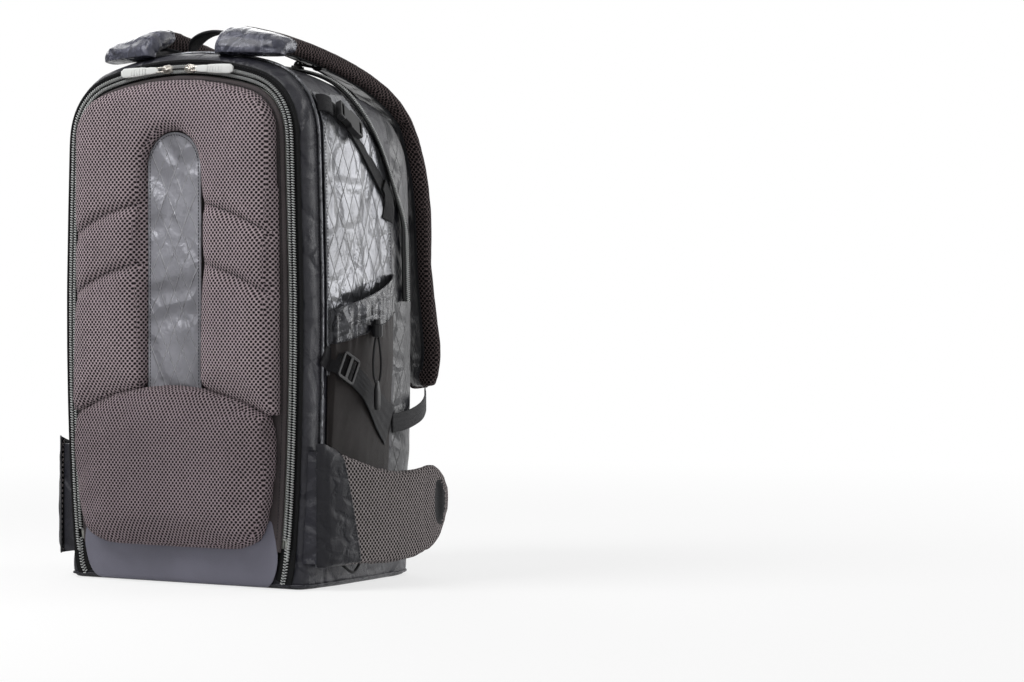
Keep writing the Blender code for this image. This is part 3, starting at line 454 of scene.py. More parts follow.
def subdivided(piece):
    """Round a piece between its points."""
    modified(piece, "SUBSURF", levels=1, render_levels=1)


def applied(piece):
    """Put a piece's modifiers into its mesh."""
    bpy.context.view_layer.update()
    shown = piece.evaluated_get(bpy.context.evaluated_depsgraph_get())
    mesh = bpy.data.meshes.new_from_object(shown)
    piece.modifiers.clear()
    old = piece.data
    piece.data = mesh
    bpy.data.meshes.remove(old)
    return piece


def points_of(mesh):
    """The places of a mesh's points."""
    co = np.zeros(len(mesh.vertices) * 3)
    mesh.vertices.foreach_get("co", co)
    return co.reshape(-1, 3)


def moved_to(mesh, co):
    """Put a mesh's points in new places."""
    mesh.vertices.foreach_set("co", co.ravel())
    mesh.update()


def remeshed(name, bm, voxel, finishes, rounds=0):
    """A piece made anew from small even faces, and eased."""
    piece = new_piece(name, bm, *finishes, body=None)
    modified(piece, "REMESH", mode="VOXEL", voxel_size=voxel, use_smooth_shade=True)
    if rounds:
        modified(piece, "SMOOTH", factor=0.5, iterations=rounds)
    return applied(piece)


def as_padding(piece, body, node):
    """A finished padded piece, in place of its frame piece."""
    piece.data.shade_smooth()
    placed(piece, body, [node])
    return piece


CLOTH_STEPS = 16                     # frames that a pad's cover takes to settle


def stuffed(name, node, finish, voxel, swell, held=None, slack=0.0015, pressure=4.0, body="bag"):
    """Foam in its cover: a copy of the frame piece, remeshed, and swollen as cloth under pressure."""
    bm = merged(node)
    bm.normal_update()
    for vert in bm.verts:
        vert.co -= vert.normal * slack
    piece = remeshed(name, bm, voxel, [finish])
    start = points_of(piece.data)
    pins = piece.vertex_groups.new(name="held")
    if held is not None:
        pins.add([int(i) for i in np.nonzero(held(start))[0]], 1.0, "REPLACE")
    settings = modified(piece, "CLOTH").settings
    settings.use_pressure = True
    settings.uniform_pressure_force = pressure
    settings.effector_weights.gravity = 0.0
    settings.quality = 4
    settings.tension_stiffness = 25
    settings.compression_stiffness = 25
    settings.bending_stiffness = 2.0
    if held is not None:
        settings.vertex_group_mass = "held"
    scene = bpy.context.scene
    for step in range(1, CLOTH_STEPS + 1):
        scene.frame_set(step)
    applied(piece)
    scene.frame_set(1)
    push = points_of(piece.data) - start
    far = np.linalg.norm(push, axis=1)
    moved_to(piece.data, start + push * np.minimum(1.0, swell / np.maximum(far, 1e-9))[:, None])
    piece.vertex_groups.clear()
    modified(piece, "SMOOTH", factor=0.5, iterations=3)
    return as_padding(applied(piece), body, node)


# ---------------------------------------------------------------- finishes

class Wiring:
    """Short ways to add nodes to a tree."""

    def __init__(self, tree):
        self.tree = tree

    def node(self, kind, **settings):
        """A new node."""
        made = self.tree.nodes.new("ShaderNode" + kind)
        for key, value in settings.items():
            setattr(made, key, value)
        return made

    def feed(self, socket, value):
        """Give a socket a value or a link."""
        if isinstance(value, bpy.types.NodeSocket):
            self.tree.links.new(value, socket)
        elif value is not None:
            socket.default_value = value

    def fed(self, kind, values, **settings):
        """A node whose first sockets take values or links."""
        made = self.node(kind, **settings)
        for socket, value in zip(made.inputs, values):
            self.feed(socket, value)
        return made

    def math(self, operation, *values):
        """One step of arithmetic."""
        return self.fed("Math", values, operation=operation).outputs[0]

    def times(self, a, b):
        """The product of two values."""
        return self.math("MULTIPLY", a, b)

    def vector(self, operation, *values):
        """One step of vector arithmetic."""
        made = self.fed("VectorMath", values, operation=operation)
        return made.outputs["Value" if operation in ("LENGTH", "DOT_PRODUCT") else "Vector"]

    def step(self, value, low, high, to_low=0.0, to_high=1.0):
        """A soft step from one value to another."""
        values = (value, low, high, to_low, to_high)
        return self.fed("MapRange", values, interpolation_type="SMOOTHSTEP").outputs[0]

    def split(self, vector):
        """The X, Y and Z of a vector."""
        return self.fed("SeparateXYZ", (vector,)).outputs

    def joined(self, x, y, z=0.0):
        """A vector from its X, Y and Z."""
        return self.fed("CombineXYZ", (x, y, z)).outputs[0]

    def mix(self, factor, a, b):
        """A colour between two others."""
        made = self.node("Mix", data_type="RGBA")
        for socket, value in zip((made.inputs[0], made.inputs[6], made.inputs[7]), (factor, a, b)):
            self.feed(socket, value)
        return made.outputs[2]

    def noise(self, vector, scale, detail=3.0, roughness=0.5):
        """Soft noise, about 0 to 1."""
        made = self.node("TexNoise")
        self.feed(made.inputs["Vector"], vector)
        self.feed(made.inputs["Scale"], scale)
        made.inputs["Detail"].default_value = detail
        made.inputs["Roughness"].default_value = roughness
        return made.outputs[0]

    def flat_place(self):
        """The two directions that lie most nearly in the cloth's plane, from the piece's own place and normal."""
        at = self.node("TexCoord")
        x, y, z = self.split(at.outputs["Object"])
        nx, ny, nz = self.split(self.vector("ABSOLUTE", at.outputs["Normal"]))
        side = self.math("GREATER_THAN", nx, self.math("MAXIMUM", ny, nz))
        top = self.math("GREATER_THAN", nz, self.math("MAXIMUM", nx, ny))
        across = self.math("ADD", self.times(y, side), self.times(x, self.math("SUBTRACT", 1.0, side)))
        up = self.math("ADD", self.times(y, top), self.times(z, self.math("SUBTRACT", 1.0, top)))
        return self.joined(across, up)

    def map_place(self):
        """The place on the piece's own map, in metres."""
        return self.vector("MULTIPLY", self.node("UVMap").outputs[0], (1.0, 1.0, 0.0))


def effect_group(name, inputs, outputs, build):
    """A node group with named values in and masks or heights out, built once."""
    if name in bpy.data.node_groups:
        return bpy.data.node_groups[name]
    tree = bpy.data.node_groups.new(name, "ShaderNodeTree")
    for label, default in inputs.items():
        socket = tree.interface.new_socket(label, in_out="INPUT", socket_type="NodeSocketFloat")
        socket.default_value = default
    for label in outputs:
        tree.interface.new_socket(label, in_out="OUTPUT", socket_type="NodeSocketFloat")
    w = Wiring(tree)
    given, out = tree.nodes.new("NodeGroupInput"), tree.nodes.new("NodeGroupOutput")
    for socket, value in zip(out.inputs, build(w, given.outputs)):
        w.feed(socket, value)
    return tree


def spacer_mesh(w, given):
    """Knitted spacer mesh: holes in offset rows, with round threads between them."""
    half = (0.5, 0.59, 0.5)              # half a cell, which is taller than it is wide
    low = tuple(-c for c in half)
    place = w.flat_place()
    wander = w.noise(place, 55.0)
    p = w.vector("SCALE", place)
    w.feed(p.node.inputs["Scale"], w.math("DIVIDE", 1.0, given["Pitch"]))
    p = w.vector("ADD", p, w.joined(w.times(wander, 0.35), w.times(wander, 0.25)))
    a = w.vector("LENGTH", w.vector("WRAP", p, half, low))
    b = w.vector("LENGTH", w.vector("WRAP", w.vector("ADD", p, (half[0], half[1], 0.0)), half, low))
    near = w.math("MINIMUM", a, b)
    thread = w.step(near, w.times(given["Hole"], 0.55), w.times(given["Hole"], 1.15))
    return thread, w.times(thread, w.step(near, 0.60, 0.34, 0.55, 1.0))


def plain_weave(w, given):
    """Crossing threads over the piece's plane."""
    return woven(w, w.flat_place(), given)


def mapped_weave(w, given):
    """Crossing threads along the piece's own map."""
    return woven(w, w.map_place(), given)


def woven(w, place, given):
    """Crossing threads over a place."""
    x, y, _ = w.split(place)
    turn = w.math("DIVIDE", 2 * math.pi, given["Pitch"])
    wave = w.times(w.math("SINE", w.times(x, turn)), w.math("SINE", w.times(y, turn)))
    height = w.math("MULTIPLY_ADD", wave, 0.5, 0.5)
    return height, height


def webbing_weave(w, given):
    """Herringbone ribs along a strap, with a plain band at each edge."""
    y, x, _ = w.split(w.map_place())
    turn = w.math("DIVIDE", 2 * math.pi, given["Pitch"])
    fold = w.math("ABSOLUTE", w.math("SUBTRACT", w.math("FRACT", w.math("DIVIDE", y, 0.005)), 0.5))
    rib = w.math("SINE", w.times(w.math("ADD", x, w.times(fold, 0.006)), turn))
    height = w.math("MULTIPLY_ADD", rib, 0.5, 0.5)
    return height, height


def rib_knit(w, given):
    """Narrow upright ribs with a short cross stitch, as on brushed lining cloth."""
    x, y, _ = w.split(w.flat_place())
    turn = w.math("DIVIDE", math.pi, given["Pitch"])
    rib = w.math("ABSOLUTE", w.math("SINE", w.times(x, turn)))
    tick = w.math("ABSOLUTE", w.math("SINE", w.times(y, w.times(turn, 0.8))))
    height = w.times(rib, w.math("MULTIPLY_ADD", tick, 0.35, 0.65))
    return height, height


def crossed_threads(w, given):
    """Thick threads that cross in tall diamonds under a clear film."""
    x, y, _ = w.split(w.flat_place())
    masks = []
    for sign in (1.0, -1.0):
        cell = w.math("DIVIDE", w.math("ADD", w.times(x, 2.05 * sign), y), given["Spacing"])
        off = w.math("ABSOLUTE", w.math("SUBTRACT", w.math("FRACT", cell), 0.5))
        masks.append(w.step(off, w.math("DIVIDE", given["Width"], given["Spacing"]), 0.0))
    mask = w.math("MAXIMUM", *masks)
    return mask, mask


def crinkle(w, given):
    """Sharp shallow creases and soft dents, as film-faced cloth takes."""
    place = w.node("TexCoord").outputs["Object"]
    soft = w.noise(place, given["Scale"], 4.0, 0.55)
    bent = w.vector("ADD", place, w.joined(w.times(soft, 0.03), w.times(soft, 0.02)))
    cells = w.node("TexVoronoi", feature="DISTANCE_TO_EDGE")
    w.feed(cells.inputs["Vector"], bent)
    w.feed(cells.inputs["Scale"], given["Scale"])
    crease = w.step(cells.outputs["Distance"], 0.0, 0.22)
    fine = w.noise(place, w.times(given["Scale"], 5.0), 3.0, 0.6)
    broad = w.noise(place, w.times(given["Scale"], 0.45), 2.0, 0.5)
    dents = w.math("ADD", w.times(soft, 0.9), w.times(fine, 0.16))
    return crease, w.math("ADD", w.times(w.times(crease, broad), 0.9), dents)


def handled(w, given):
    """Slow changes of tone from handling, about 0 to 1."""
    place = w.node("TexCoord").outputs["Object"]
    slow = w.noise(place, given["Scale"], 4.0, 0.6)
    return w.step(slow, 0.30, 0.70), slow


EFFECTS = {
    "spacer_mesh": (spacer_mesh, {"Pitch": 0.0045, "Hole": 0.33}, ("Thread", "Height")),
    "plain_weave": (plain_weave, {"Pitch": 0.0010}, ("Mask", "Height")),
    "mapped_weave": (mapped_weave, {"Pitch": 0.0010}, ("Mask", "Height")),
    "webbing_weave": (webbing_weave, {"Pitch": 0.0014}, ("Mask", "Height")),
    "rib_knit": (rib_knit, {"Pitch": 0.0022}, ("Mask", "Height")),
    "crossed_threads": (crossed_threads, {"Spacing": 0.046, "Width": 0.0016}, ("Mask", "Height")),
    "crinkle": (crinkle, {"Scale": 26.0}, ("Mask", "Height")),
    "handled": (handled, {"Scale": 9.0}, ("Mask", "Slow")),
}


def effect(w, name, **values):
    """Place an effect group in a material with its own values."""
    build, inputs, outputs = EFFECTS[name]
    made = w.node("Group", node_tree=effect_group(name, inputs, outputs, build))
    for key, value in values.items():
        made.inputs[key.capitalize()].default_value = value
    return made.outputs


def cloth_finish(name, colour, dark, roughness, pattern, depth, crumple=None, worn=0.15, sheen=0.0, coat=0.0,
                 metallic=0.0, specular=0.2, gloss=0.0, **values):
    """A material from one pattern: its colour on the threads and between them, its relief, its creases as a scale and
    a depth, and the marks of handling."""
    made = bpy.data.materials.new(name + "_finish")
    made.use_nodes = True
    w = Wiring(made.node_tree)
    shader = made.node_tree.nodes["Principled BSDF"]
    tone = effect(w, "handled")
    base, normal = colour, None
    reliefs = []
    if pattern:
        mask, height = effect(w, pattern, **values)[:2]
        base = w.mix(mask, *((colour, dark) if pattern == "crossed_threads" else (dark, colour)))
        reliefs.append((height, depth))
    if crumple:
        reliefs.append((effect(w, "crinkle", scale=crumple[0])[1], crumple[1]))
    for height, distance in reliefs:
        bump = w.node("Bump")
        bump.inputs["Strength"].default_value = 1.0
        bump.inputs["Distance"].default_value = distance
        w.feed(bump.inputs["Height"], height)
        w.feed(bump.inputs["Normal"], normal)
        normal = bump.outputs[0]
    faded = w.node("HueSaturation")
    w.feed(faded.inputs["Color"], base)
    w.feed(faded.inputs["Value"], w.math("MULTIPLY_ADD", tone[0], worn, 1.0 - worn / 2))
    w.feed(shader.inputs["Base Color"], faded.outputs[0])
    w.feed(shader.inputs["Roughness"], w.math("MULTIPLY_ADD", tone[0], -gloss, roughness + gloss / 2))
    if normal is not None:
        w.feed(shader.inputs["Normal"], normal)
    shader.inputs["Metallic"].default_value = metallic
    shader.inputs["Specular IOR Level"].default_value = specular
    shader.inputs["Sheen Weight"].default_value = sheen
    shader.inputs["Sheen Roughness"].default_value = 0.4
    shader.inputs["Coat Weight"].default_value = coat
    shader.inputs["Coat Roughness"].default_value = 0.18
    return made


FINISHES = {      # colour of the threads and between them, roughness, pattern, its depth in metres, and the rest
    "back_mesh": ("mesh_colour", (28, 23, 25), 0.85, "spacer_mesh", 0.0020,
        {"worn": 0.12, "specular": 0.12, "hole": 0.34}),
    "strap_mesh": ("strap_colour", (10, 8, 9), 0.85, "spacer_mesh", 0.002,
        {"worn": 0.15, "specular": 0.12, "hole": 0.36}),
    "wing_mesh": ((158, 150, 150), (22, 19, 19), 0.85, "spacer_mesh", 0.0018,
        {"worn": 0.12, "specular": 0.12, "pitch": 0.0046, "hole": 0.35}),
    "border_cloth": ((86, 79, 80), (44, 41, 42), 0.8, "plain_weave", 0.0003, {"worn": 0.25, "pitch": 0.0016}),
    "navy_satin": ("shell_colour", (26, 26, 33), 0.42, "plain_weave", 0.00012,
        {"worn": 0.35, "gloss": 0.16, "pitch": 0.0009, "specular": 0.45, "crumple": (30.0, 0.0036)}),
    "slate_satin": ((120, 119, 132), (96, 96, 107), 0.5, "plain_weave", 0.00012,
        {"worn": 0.18, "pitch": 0.0009, "specular": 0.3, "crumple": (14.0, 0.0012)}),
    "laminate": ("film_colour", (60, 61, 64), 0.36, "crossed_threads", 0.0009,
        {"worn": 0.5, "metallic": 0.65, "coat": 0.3, "gloss": 0.16, "spacing": 0.04, "width": 0.0018,
         "crumple": (24.0, 0.0048)}),
    "dark_laminate": ((32, 33, 38), (18, 18, 22), 0.36, "crossed_threads", 0.0006,
        {"worn": 0.4, "coat": 0.12, "gloss": 0.16, "specular": 0.35, "spacing": 0.04, "width": 0.0016,
         "crumple": (22.0, 0.005)}),
    "cuff_film": ((48, 49, 54), (24, 25, 28), 0.3, "crossed_threads", 0.0006,
        {"worn": 0.4, "metallic": 0.3, "coat": 0.4, "gloss": 0.16, "specular": 0.5, "spacing": 0.04,
         "width": 0.0016, "crumple": (40.0, 0.011)}),
    "sleeve_cloth": ((74, 75, 88), (50, 51, 62), 0.28, "plain_weave", 0.0001,
        {"worn": 0.35, "metallic": 0.3, "coat": 0.35, "gloss": 0.14, "pitch": 0.0009, "specular": 0.4,
         "crumple": (34.0, 0.006)}),
    "spine_laminate": ("spine_colour", (166, 166, 171), 0.42, "crossed_threads", 0.0009,
        {"worn": 0.5, "metallic": 0.25, "gloss": 0.16, "coat": 0.15, "spacing": 0.040, "width": 0.0018,
         "crumple": (16.0, 0.011)}),
    # The lumbar pad's mesh is the back pad's mesh made darker: painted shade for the lower pad, which the light from
    # above reaches less.
    "lumbar_mesh": ((158, 143, 148), (25, 21, 22), 0.85, "spacer_mesh", 0.0020,
        {"worn": 0.12, "specular": 0.12, "hole": 0.34}),
    # The wing strip's satin is the shell's navy satin made darker, with less specular: painted shade for its dimmer
    # reflection.
    "strip_cloth": ((29, 29, 35), (18, 18, 23), 0.42, "plain_weave", 0.00012,
        {"worn": 0.3, "gloss": 0.16, "pitch": 0.0009, "specular": 0.3, "crumple": (44.0, 0.0018)}),
    "zip_tape": ((22, 23, 24), (8, 8, 9), 0.8, "mapped_weave", 0.0002, {"pitch": 0.0016}),
    # The coil's light grey is a painted highlight: it stands for the glints on the teeth of a coil that is near black.
    "zip_coil": ((160, 162, 161), (60, 62, 62), 0.34, None, 0.0003, {"worn": 0.2, "specular": 0.6}),
    "nickel": ((205, 200, 192), (0, 0, 0), 0.28, None, 0.0003, {"worn": 0.08, "metallic": 1.0, "gloss": 0.1}),
    "grip": ("grip_colour", (0, 0, 0), 0.45, None, 0.0003, {"worn": 0.08}),
    "black_plastic": ((19, 19, 21), (0, 0, 0), 0.42, None, 0.0003, {"worn": 0.15, "gloss": 0.1, "specular": 0.25}),
    "webbing": ("webbing_colour", (12, 12, 14), 0.62, "webbing_weave", 0.0003, {"worn": 0.15}),
    "binding": ((36, 37, 41), (20, 21, 24), 0.6, "mapped_weave", 0.0002, {"pitch": 0.0013}),
    "braid": ((38, 38, 40), (12, 12, 13), 0.6, "mapped_weave", 0.0003, {"pitch": 0.0016}),
    "stretch": ((38, 33, 32), (18, 15, 15), 0.6, "plain_weave", 0.0002,
        {"worn": 0.3, "gloss": 0.15, "pitch": 0.0014, "crumple": (12.0, 0.0012)}),
    "lining_dark": ((104, 104, 100), (52, 52, 50), 0.95, "rib_knit", 0.0006, {"worn": 0.15, "sheen": 0.2}),
    "lining_light": ("lining_colour", (168, 169, 163), 0.95, "rib_knit", 0.0003,
        {"worn": 0.08, "sheen": 0.1, "pitch": 0.0015}),
    "lining_pale": ((168, 163, 158), (118, 113, 109), 0.95, "rib_knit", 0.0005,
        {"worn": 0.1, "sheen": 0.1, "pitch": 0.0026}),
    "lining_smooth": ((196, 199, 192), (174, 177, 170), 0.8, "plain_weave", 0.0001,
        {"worn": 0.08, "pitch": 0.0011, "crumple": (15.0, 0.001)}),
    "hood_cloth": ((98, 99, 93), (84, 85, 80), 0.55, "plain_weave", 0.0001,
        {"worn": 0.15, "gloss": 0.1, "crumple": (12.0, 0.0009)}),
    "frame_board": ((60, 62, 64), (48, 50, 52), 0.5, "plain_weave", 0.0001, {}),
    "webbing_plain": ((40, 41, 42), (18, 18, 20), 0.62, "plain_weave", 0.0002, {"pitch": 0.0012}),
    "hook_cloth": ((74, 74, 71), (44, 44, 42), 0.95, "plain_weave", 0.0003, {"pitch": 0.0018}),
    "pouch_cloth": ((30, 30, 32), (16, 16, 17), 0.45, "plain_weave", 0.0001,
        {"gloss": 0.15, "crumple": (34.0, 0.003)}),
    "pocket_mesh": ((214, 217, 214), (150, 153, 150), 0.8, "spacer_mesh", 0.0003, {"pitch": 0.0021, "hole": 0.28}),
    "thread": ((30, 30, 34), (0, 0, 0), 0.6, None, 0.0003, {"worn": 0.1}),
    "grey_thread": ((96, 96, 100), (0, 0, 0), 0.6, None, 0.0003, {"worn": 0.1}),
    "green_tape": ((52, 118, 72), (34, 80, 48), 0.6, "mapped_weave", 0.0001, {}),
    "blue_tape": ((96, 168, 208), (70, 130, 170), 0.6, "mapped_weave", 0.0001, {}),
    # Dark cloth of the wings' faces towards the bag; the same cloth is also painted shade over the window near each
    # wing's tip, where no hole is cut.
    "dark_cloth": ((36, 37, 40), (22, 22, 24), 0.65, "plain_weave", 0.0002, {"worn": 0.25, "crumple": (20.0, 0.0008)}),
}


def finish_of(name):
    """The material of that name, made the first time it is wanted."""
    if name + "_finish" in bpy.data.materials:
        return bpy.data.materials[name + "_finish"]
    colour, dark, roughness, pattern, depth, more = FINISHES[name]
    colour = tuple(setting(colour)) if isinstance(colour, str) else srgb(*colour)
    return cloth_finish(name, colour, srgb(*dark), roughness, pattern, depth, **more)


def kept(node, finish, bevel=0.0005, segments=2):
    """A rigid frame piece that stays, with its own finish and its edges eased."""
    piece = frame["nodes"][node]
    if not piece.material_slots:
        piece.data.materials.append(finish_of(finish))
    piece.material_slots[0].material = finish_of(finish)
    modified(piece, "WELD", merge_threshold=1e-5)
    if bevel:
        modified(piece, "BEVEL", width=bevel, segments=segments, limit_method="ANGLE", angle_limit=math.radians(38))
    return piece


# ---------------------------------------------------------------- settings

COLOUR = {"size": 4, "min": 0.0, "max": 1.0, "subtype": "COLOR"}


class BagSettings(PropertyGroup):
    """Sizes and colours that a user would change."""

    tooth_pitch: FloatProperty(name="Zip tooth pitch", description="Distance between teeth on one side of the zip",
                               default=0.0026, min=0.001, max=0.01, unit="LENGTH")
    pad_voxel: FloatProperty(name="Padding detail", description="Size of the cells that the pads are remeshed to",
                             default=0.0045, min=0.002, max=0.02, unit="LENGTH")
    pad_swell: FloatProperty(name="Padding swell", description="How far a pad's cover may stand off its foam",
                             default=0.0045, min=0.0, max=0.03, unit="LENGTH")
    channel_depth: FloatProperty(name="Seam depth", description="How deep the sewn channels sink into the back pad",
                                 default=0.0075, min=0.0, max=0.03, unit="LENGTH")
    rumple: FloatProperty(name="Rumple", description="How far loose cloth departs from its smooth shape",
                          default=0.0016, min=0.0, max=0.02, unit="LENGTH")
    azimuth: FloatProperty(name="Camera azimuth", description="Direction that the bag is seen from",
                           default=math.radians(39.0), subtype="ANGLE")
    distance: FloatProperty(name="Camera distance", description="From the middle of the lid to the camera",
                            default=3.3, min=0.5, unit="LENGTH")
    mesh_colour: FloatVectorProperty(name="Mesh colour", description="Threads of the mesh on the back and lumbar pads",
                                     default=srgb(178, 162, 167), **COLOUR)
    strap_colour: FloatVectorProperty(name="Strap colour", description="Threads of the mesh on the shoulder straps",
                                      default=srgb(96, 84, 84), **COLOUR)
    shell_colour: FloatVectorProperty(name="Shell colour", description="The satin cloth of the border, sides and base",
                                      default=srgb(40, 40, 48), **COLOUR)
    film_colour: FloatVectorProperty(name="Side panel colour", description="The laminated cloth of the side panels",
                                     default=srgb(100, 101, 105), **COLOUR)
    spine_colour: FloatVectorProperty(name="Spine colour", description="The laminated strip down the back",
                                      default=srgb(130, 130, 136), **COLOUR)
    grip_colour: FloatVectorProperty(name="Pull colour", description="The moulded grips of the main zip's pulls",
                                     default=srgb(200, 201, 199), **COLOUR)
    webbing_colour: FloatVectorProperty(name="Webbing colour", description="The woven straps",
                                        default=srgb(34, 34, 37), **COLOUR)
    lining_colour: FloatVectorProperty(name="Lining colour", description="The pale felt of the rim and the dividers",
                                       default=srgb(205, 206, 201), **COLOUR)


def setting(name):
    """The value that the bag's settings give."""
    return getattr(bpy.context.scene.camera_bag, name)


# ---------------------------------------------------------------- stage

class BAG_OT_stage(Operator):
    """Floor, lamps, sky and camera"""

    bl_idname = "bag.stage"
    bl_label = "Stage"

    def execute(self, context):
        scene = context.scene
        scene.view_settings.view_transform = "Standard"
        self.floor()
        self.sky(scene)
        for name, at, size, power in (("key", (-0.50, -0.95, 1.45), 0.9, 22.0), ("fill", (2.2, -2.3, 1.0), 1.5, 14.0),
                                      ("rim", (1.75, 2.15, 0.62), 1.7, 44.0), ("back", (-2.2, 1.9, 1.9), 1.8, 24.0)):
            lamp = bpy.data.lights.new(name, "AREA")
            lamp.shape, lamp.size, lamp.energy = "SQUARE", size, power
            holder = bpy.data.objects.new(name, lamp)
            holder.location, holder.visible_camera = at, False
            holder.rotation_euler = (Vector((0, 0.02, 0.28)) - Vector(at)).to_track_quat("-Z", "Y").to_euler()
            scene.collection.objects.link(holder)
        self.camera(scene)
        return {"FINISHED"}

    def floor(self):
        """A pale floor that keeps the bag's shadow and glows evenly away from it."""
        bm = bmesh.new()
        bmesh.ops.create_grid(bm, x_segments=1, y_segments=1, size=60.0)
        material = bpy.data.materials.new("pale_floor")
        material.use_nodes = True
        w = Wiring(material.node_tree)
        shader, out = material.node_tree.nodes["Principled BSDF"], material.node_tree.nodes["Material Output"]
        shader.inputs["Base Color"].default_value = (0.90, 0.90, 0.90, 1)
        shader.inputs["Roughness"].default_value = 0.9
        glow, mixed, rays = w.node("Emission"), w.node("MixShader"), w.node("LightPath")
        seen = w.math("MAXIMUM", rays.outputs["Is Camera Ray"],
                      w.math("MAXIMUM", rays.outputs["Is Glossy Ray"], rays.outputs["Is Transmission Ray"]))
        place = w.node("TexCoord").outputs["Object"]
        away = w.vector("LENGTH", place)
        dimmed = w.math("SUBTRACT", 1.0, self.backdrop(w, w.vector("NORMALIZE", place)))
        glossy = w.times(rays.outputs["Is Glossy Ray"], dimmed)
        w.feed(glow.inputs[1], w.math("MULTIPLY_ADD", glossy, -0.8, 1.0))
        for socket, value in zip(mixed.inputs, (w.times(seen, w.step(away, 0.6, 2.4, 0.72, 1.0)), shader.outputs[0],
                                                glow.outputs[0])):
            w.feed(socket, value)
        w.feed(out.inputs[0], mixed.outputs[0])
        new_piece("floor", bm, material, body=None, smooth=False)

    def sky(self, scene):
        """A white sky that lights the bag at a plain level."""
        world = bpy.data.worlds.new("pale_sky")
        scene.world = world
        world.use_nodes = True
        w = Wiring(world.node_tree)
        back = world.node_tree.nodes["Background"]
        back.inputs[0].default_value = (1, 1, 1, 1)
        rays = w.node("LightPath")
        seen = w.math("MAXIMUM", rays.outputs["Is Camera Ray"], rays.outputs["Is Transmission Ray"])
        studio = self.backdrop(w, w.node("TexCoord").outputs["Generated"])
        mirrored = w.times(rays.outputs["Is Glossy Ray"], w.math("SUBTRACT", studio, AMBIENT))
        w.feed(back.inputs[1], w.math("ADD", mirrored, w.math("MULTIPLY_ADD", seen, 1.0 - AMBIENT, AMBIENT)))

    def backdrop(self, w, direction):
        """How bright the studio is in a mirror: white behind the bag, and dim on the near side."""
        return w.step(w.vector("DOT_PRODUCT", direction, (0.35, 0.92, 0.18)), -0.30, 0.45, 0.20, 1.0)

    def camera(self, scene):
        """The camera, placed by the settings."""
        data = bpy.data.cameras.new("camera")
        data.lens, data.sensor_width = 112.9, 36.0
        holder = bpy.data.objects.new("camera", data)
        azimuth, pan, tilt, eye = setting("azimuth"), math.radians(5.85), math.radians(0.9), 0.30
        holder.location = (math.sin(azimuth) * setting("distance"),
                           ZIP_Y - math.cos(azimuth) * setting("distance"), eye)
        holder.rotation_euler = (math.pi / 2 - tilt, 0, azimuth - pan)
        scene.collection.objects.link(holder)
        scene.camera = holder


# ---------------------------------------------------------------- lid

SEAM_R = 0.243                       # the arcs sewn across the back pad, and where they top out
SEAM_TOPS = (0.3907, 0.3297)
SEAM_SPAN = (0.033, 0.136)
LUMBAR_R, LUMBAR_TOP = 0.288, 0.2035  # the arc between the two pads


def lid_rings(outline, low_edge, lean, rim, shares):
    """Rings over the lid, as insets from an outline and places in Y, then as shares of the last one; they keep above
    the lid's low edge, and lean in from it."""
    middle = np.array([0.0, 0.0, 0.27])
    start = min(inset for inset, y in rim)
    rings = []
    for inset, y, share in [(*step, 1) for step in rim] + [(*rim[-1], share) for share in shares]:
        ring = moved_out(outline, -inset)
        ring[:, 2] = np.maximum(ring[:, 2], low_edge + (inset - start) * lean)
        ring = middle + (ring - middle) * share
        ring[:, 1] = ZIP_Y + y
        rings.append(ring)
    return np.array(rings)


def seam_z(x, top):
    """Height of a seam's arc."""
    return top - SEAM_R + np.sqrt(np.maximum(SEAM_R ** 2 - x * x, 0.0))


def closed_up(pad, way, amount=0.0042, reach=0.016):
    """Push a pad's edge along the lumbar arc towards its neighbour, so that their covers meet there."""
    co = points_of(pad.data)
    centre = np.array([0.0, LUMBAR_TOP - LUMBAR_R])
    ray = co[:, (0, 2)] - centre
    length = np.linalg.norm(ray, axis=1)
    off = (length - LUMBAR_R) * -way
    near = np.clip(1 - off / reach, 0, 1)
    near = near * near * (3 - 2 * near) * (np.abs(co[:, 0]) < 0.124) * (off < reach)
    push = ray / length[:, None] * (way * amount * near)[:, None]
    co[:, 0] += push[:, 0]
    co[:, 2] += push[:, 1]
    moved_to(pad.data, co)


class BAG_OT_lid_pads(Operator):
    """The moulded mesh pads of the lid: the long back pad with its sewn channels, and the lumbar pad"""

    bl_idname = "bag.lid_pads"
    bl_label = "Lid pads"

    def execute(self, context):
        low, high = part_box("back_pad")
        pad = stuffed("back_cushion", "back_pad", "back_mesh", setting("pad_voxel"),
                      setting("pad_swell"), held=lambda p: p[:, 1] > high.y - 0.004, body="lid",
                      slack=0.0004)
        co = points_of(pad.data)
        front = np.clip((high.y - co[:, 1]) / (high.y - low.y), 0, 1)
        reach = np.clip((abs(co[:, 0]) - SEAM_SPAN[0] + 0.004) / 0.006, 0, 1)
        for top in SEAM_TOPS:
            slope = np.sqrt(1 + (co[:, 0] / SEAM_R) ** 2)
            away = abs(co[:, 2] - seam_z(co[:, 0], top)) / slope
            dip = np.maximum(0, 1 - away / 0.011) ** 2.2 + 0.30 * np.exp(-(away / 0.020) ** 2)
            co[:, 1] += setting("channel_depth") * 0.75 * dip * front * reach
        moved_to(pad.data, co)
        closed_up(pad, -1)
        subdivided(pad)
        tree = surface_of(pad)
        for row, top in enumerate(SEAM_TOPS, 1):
            for word, sign in SIDES:
                x = np.linspace(SEAM_SPAN[0] + 0.010, SEAM_SPAN[1] - 0.014, 40)
                path = laid_on(tree, spots(sign * x, low.y - 0.02, seam_z(x, top) + 0.0022), (0, 1, 0), 0.0004)
                stitched(f"seam_stitch_upper_{row}_{word}", path, (0, -1, 0), body="lid", slot="air_mesh")
        low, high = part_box("lumbar_pad")
        # The lumbar cover takes the darker copy of the back mesh: painted shade.
        lumbar = stuffed("lumbar_cushion", "lumbar_pad", "lumbar_mesh", setting("pad_voxel"),
                         setting("pad_swell") * 1.3, held=lambda p: p[:, 1] > high.y - 0.004, body="lid",
                         slack=0.0004)
        closed_up(lumbar, 1, 0.0012)
        subdivided(lumbar)
        return {"FINISHED"}


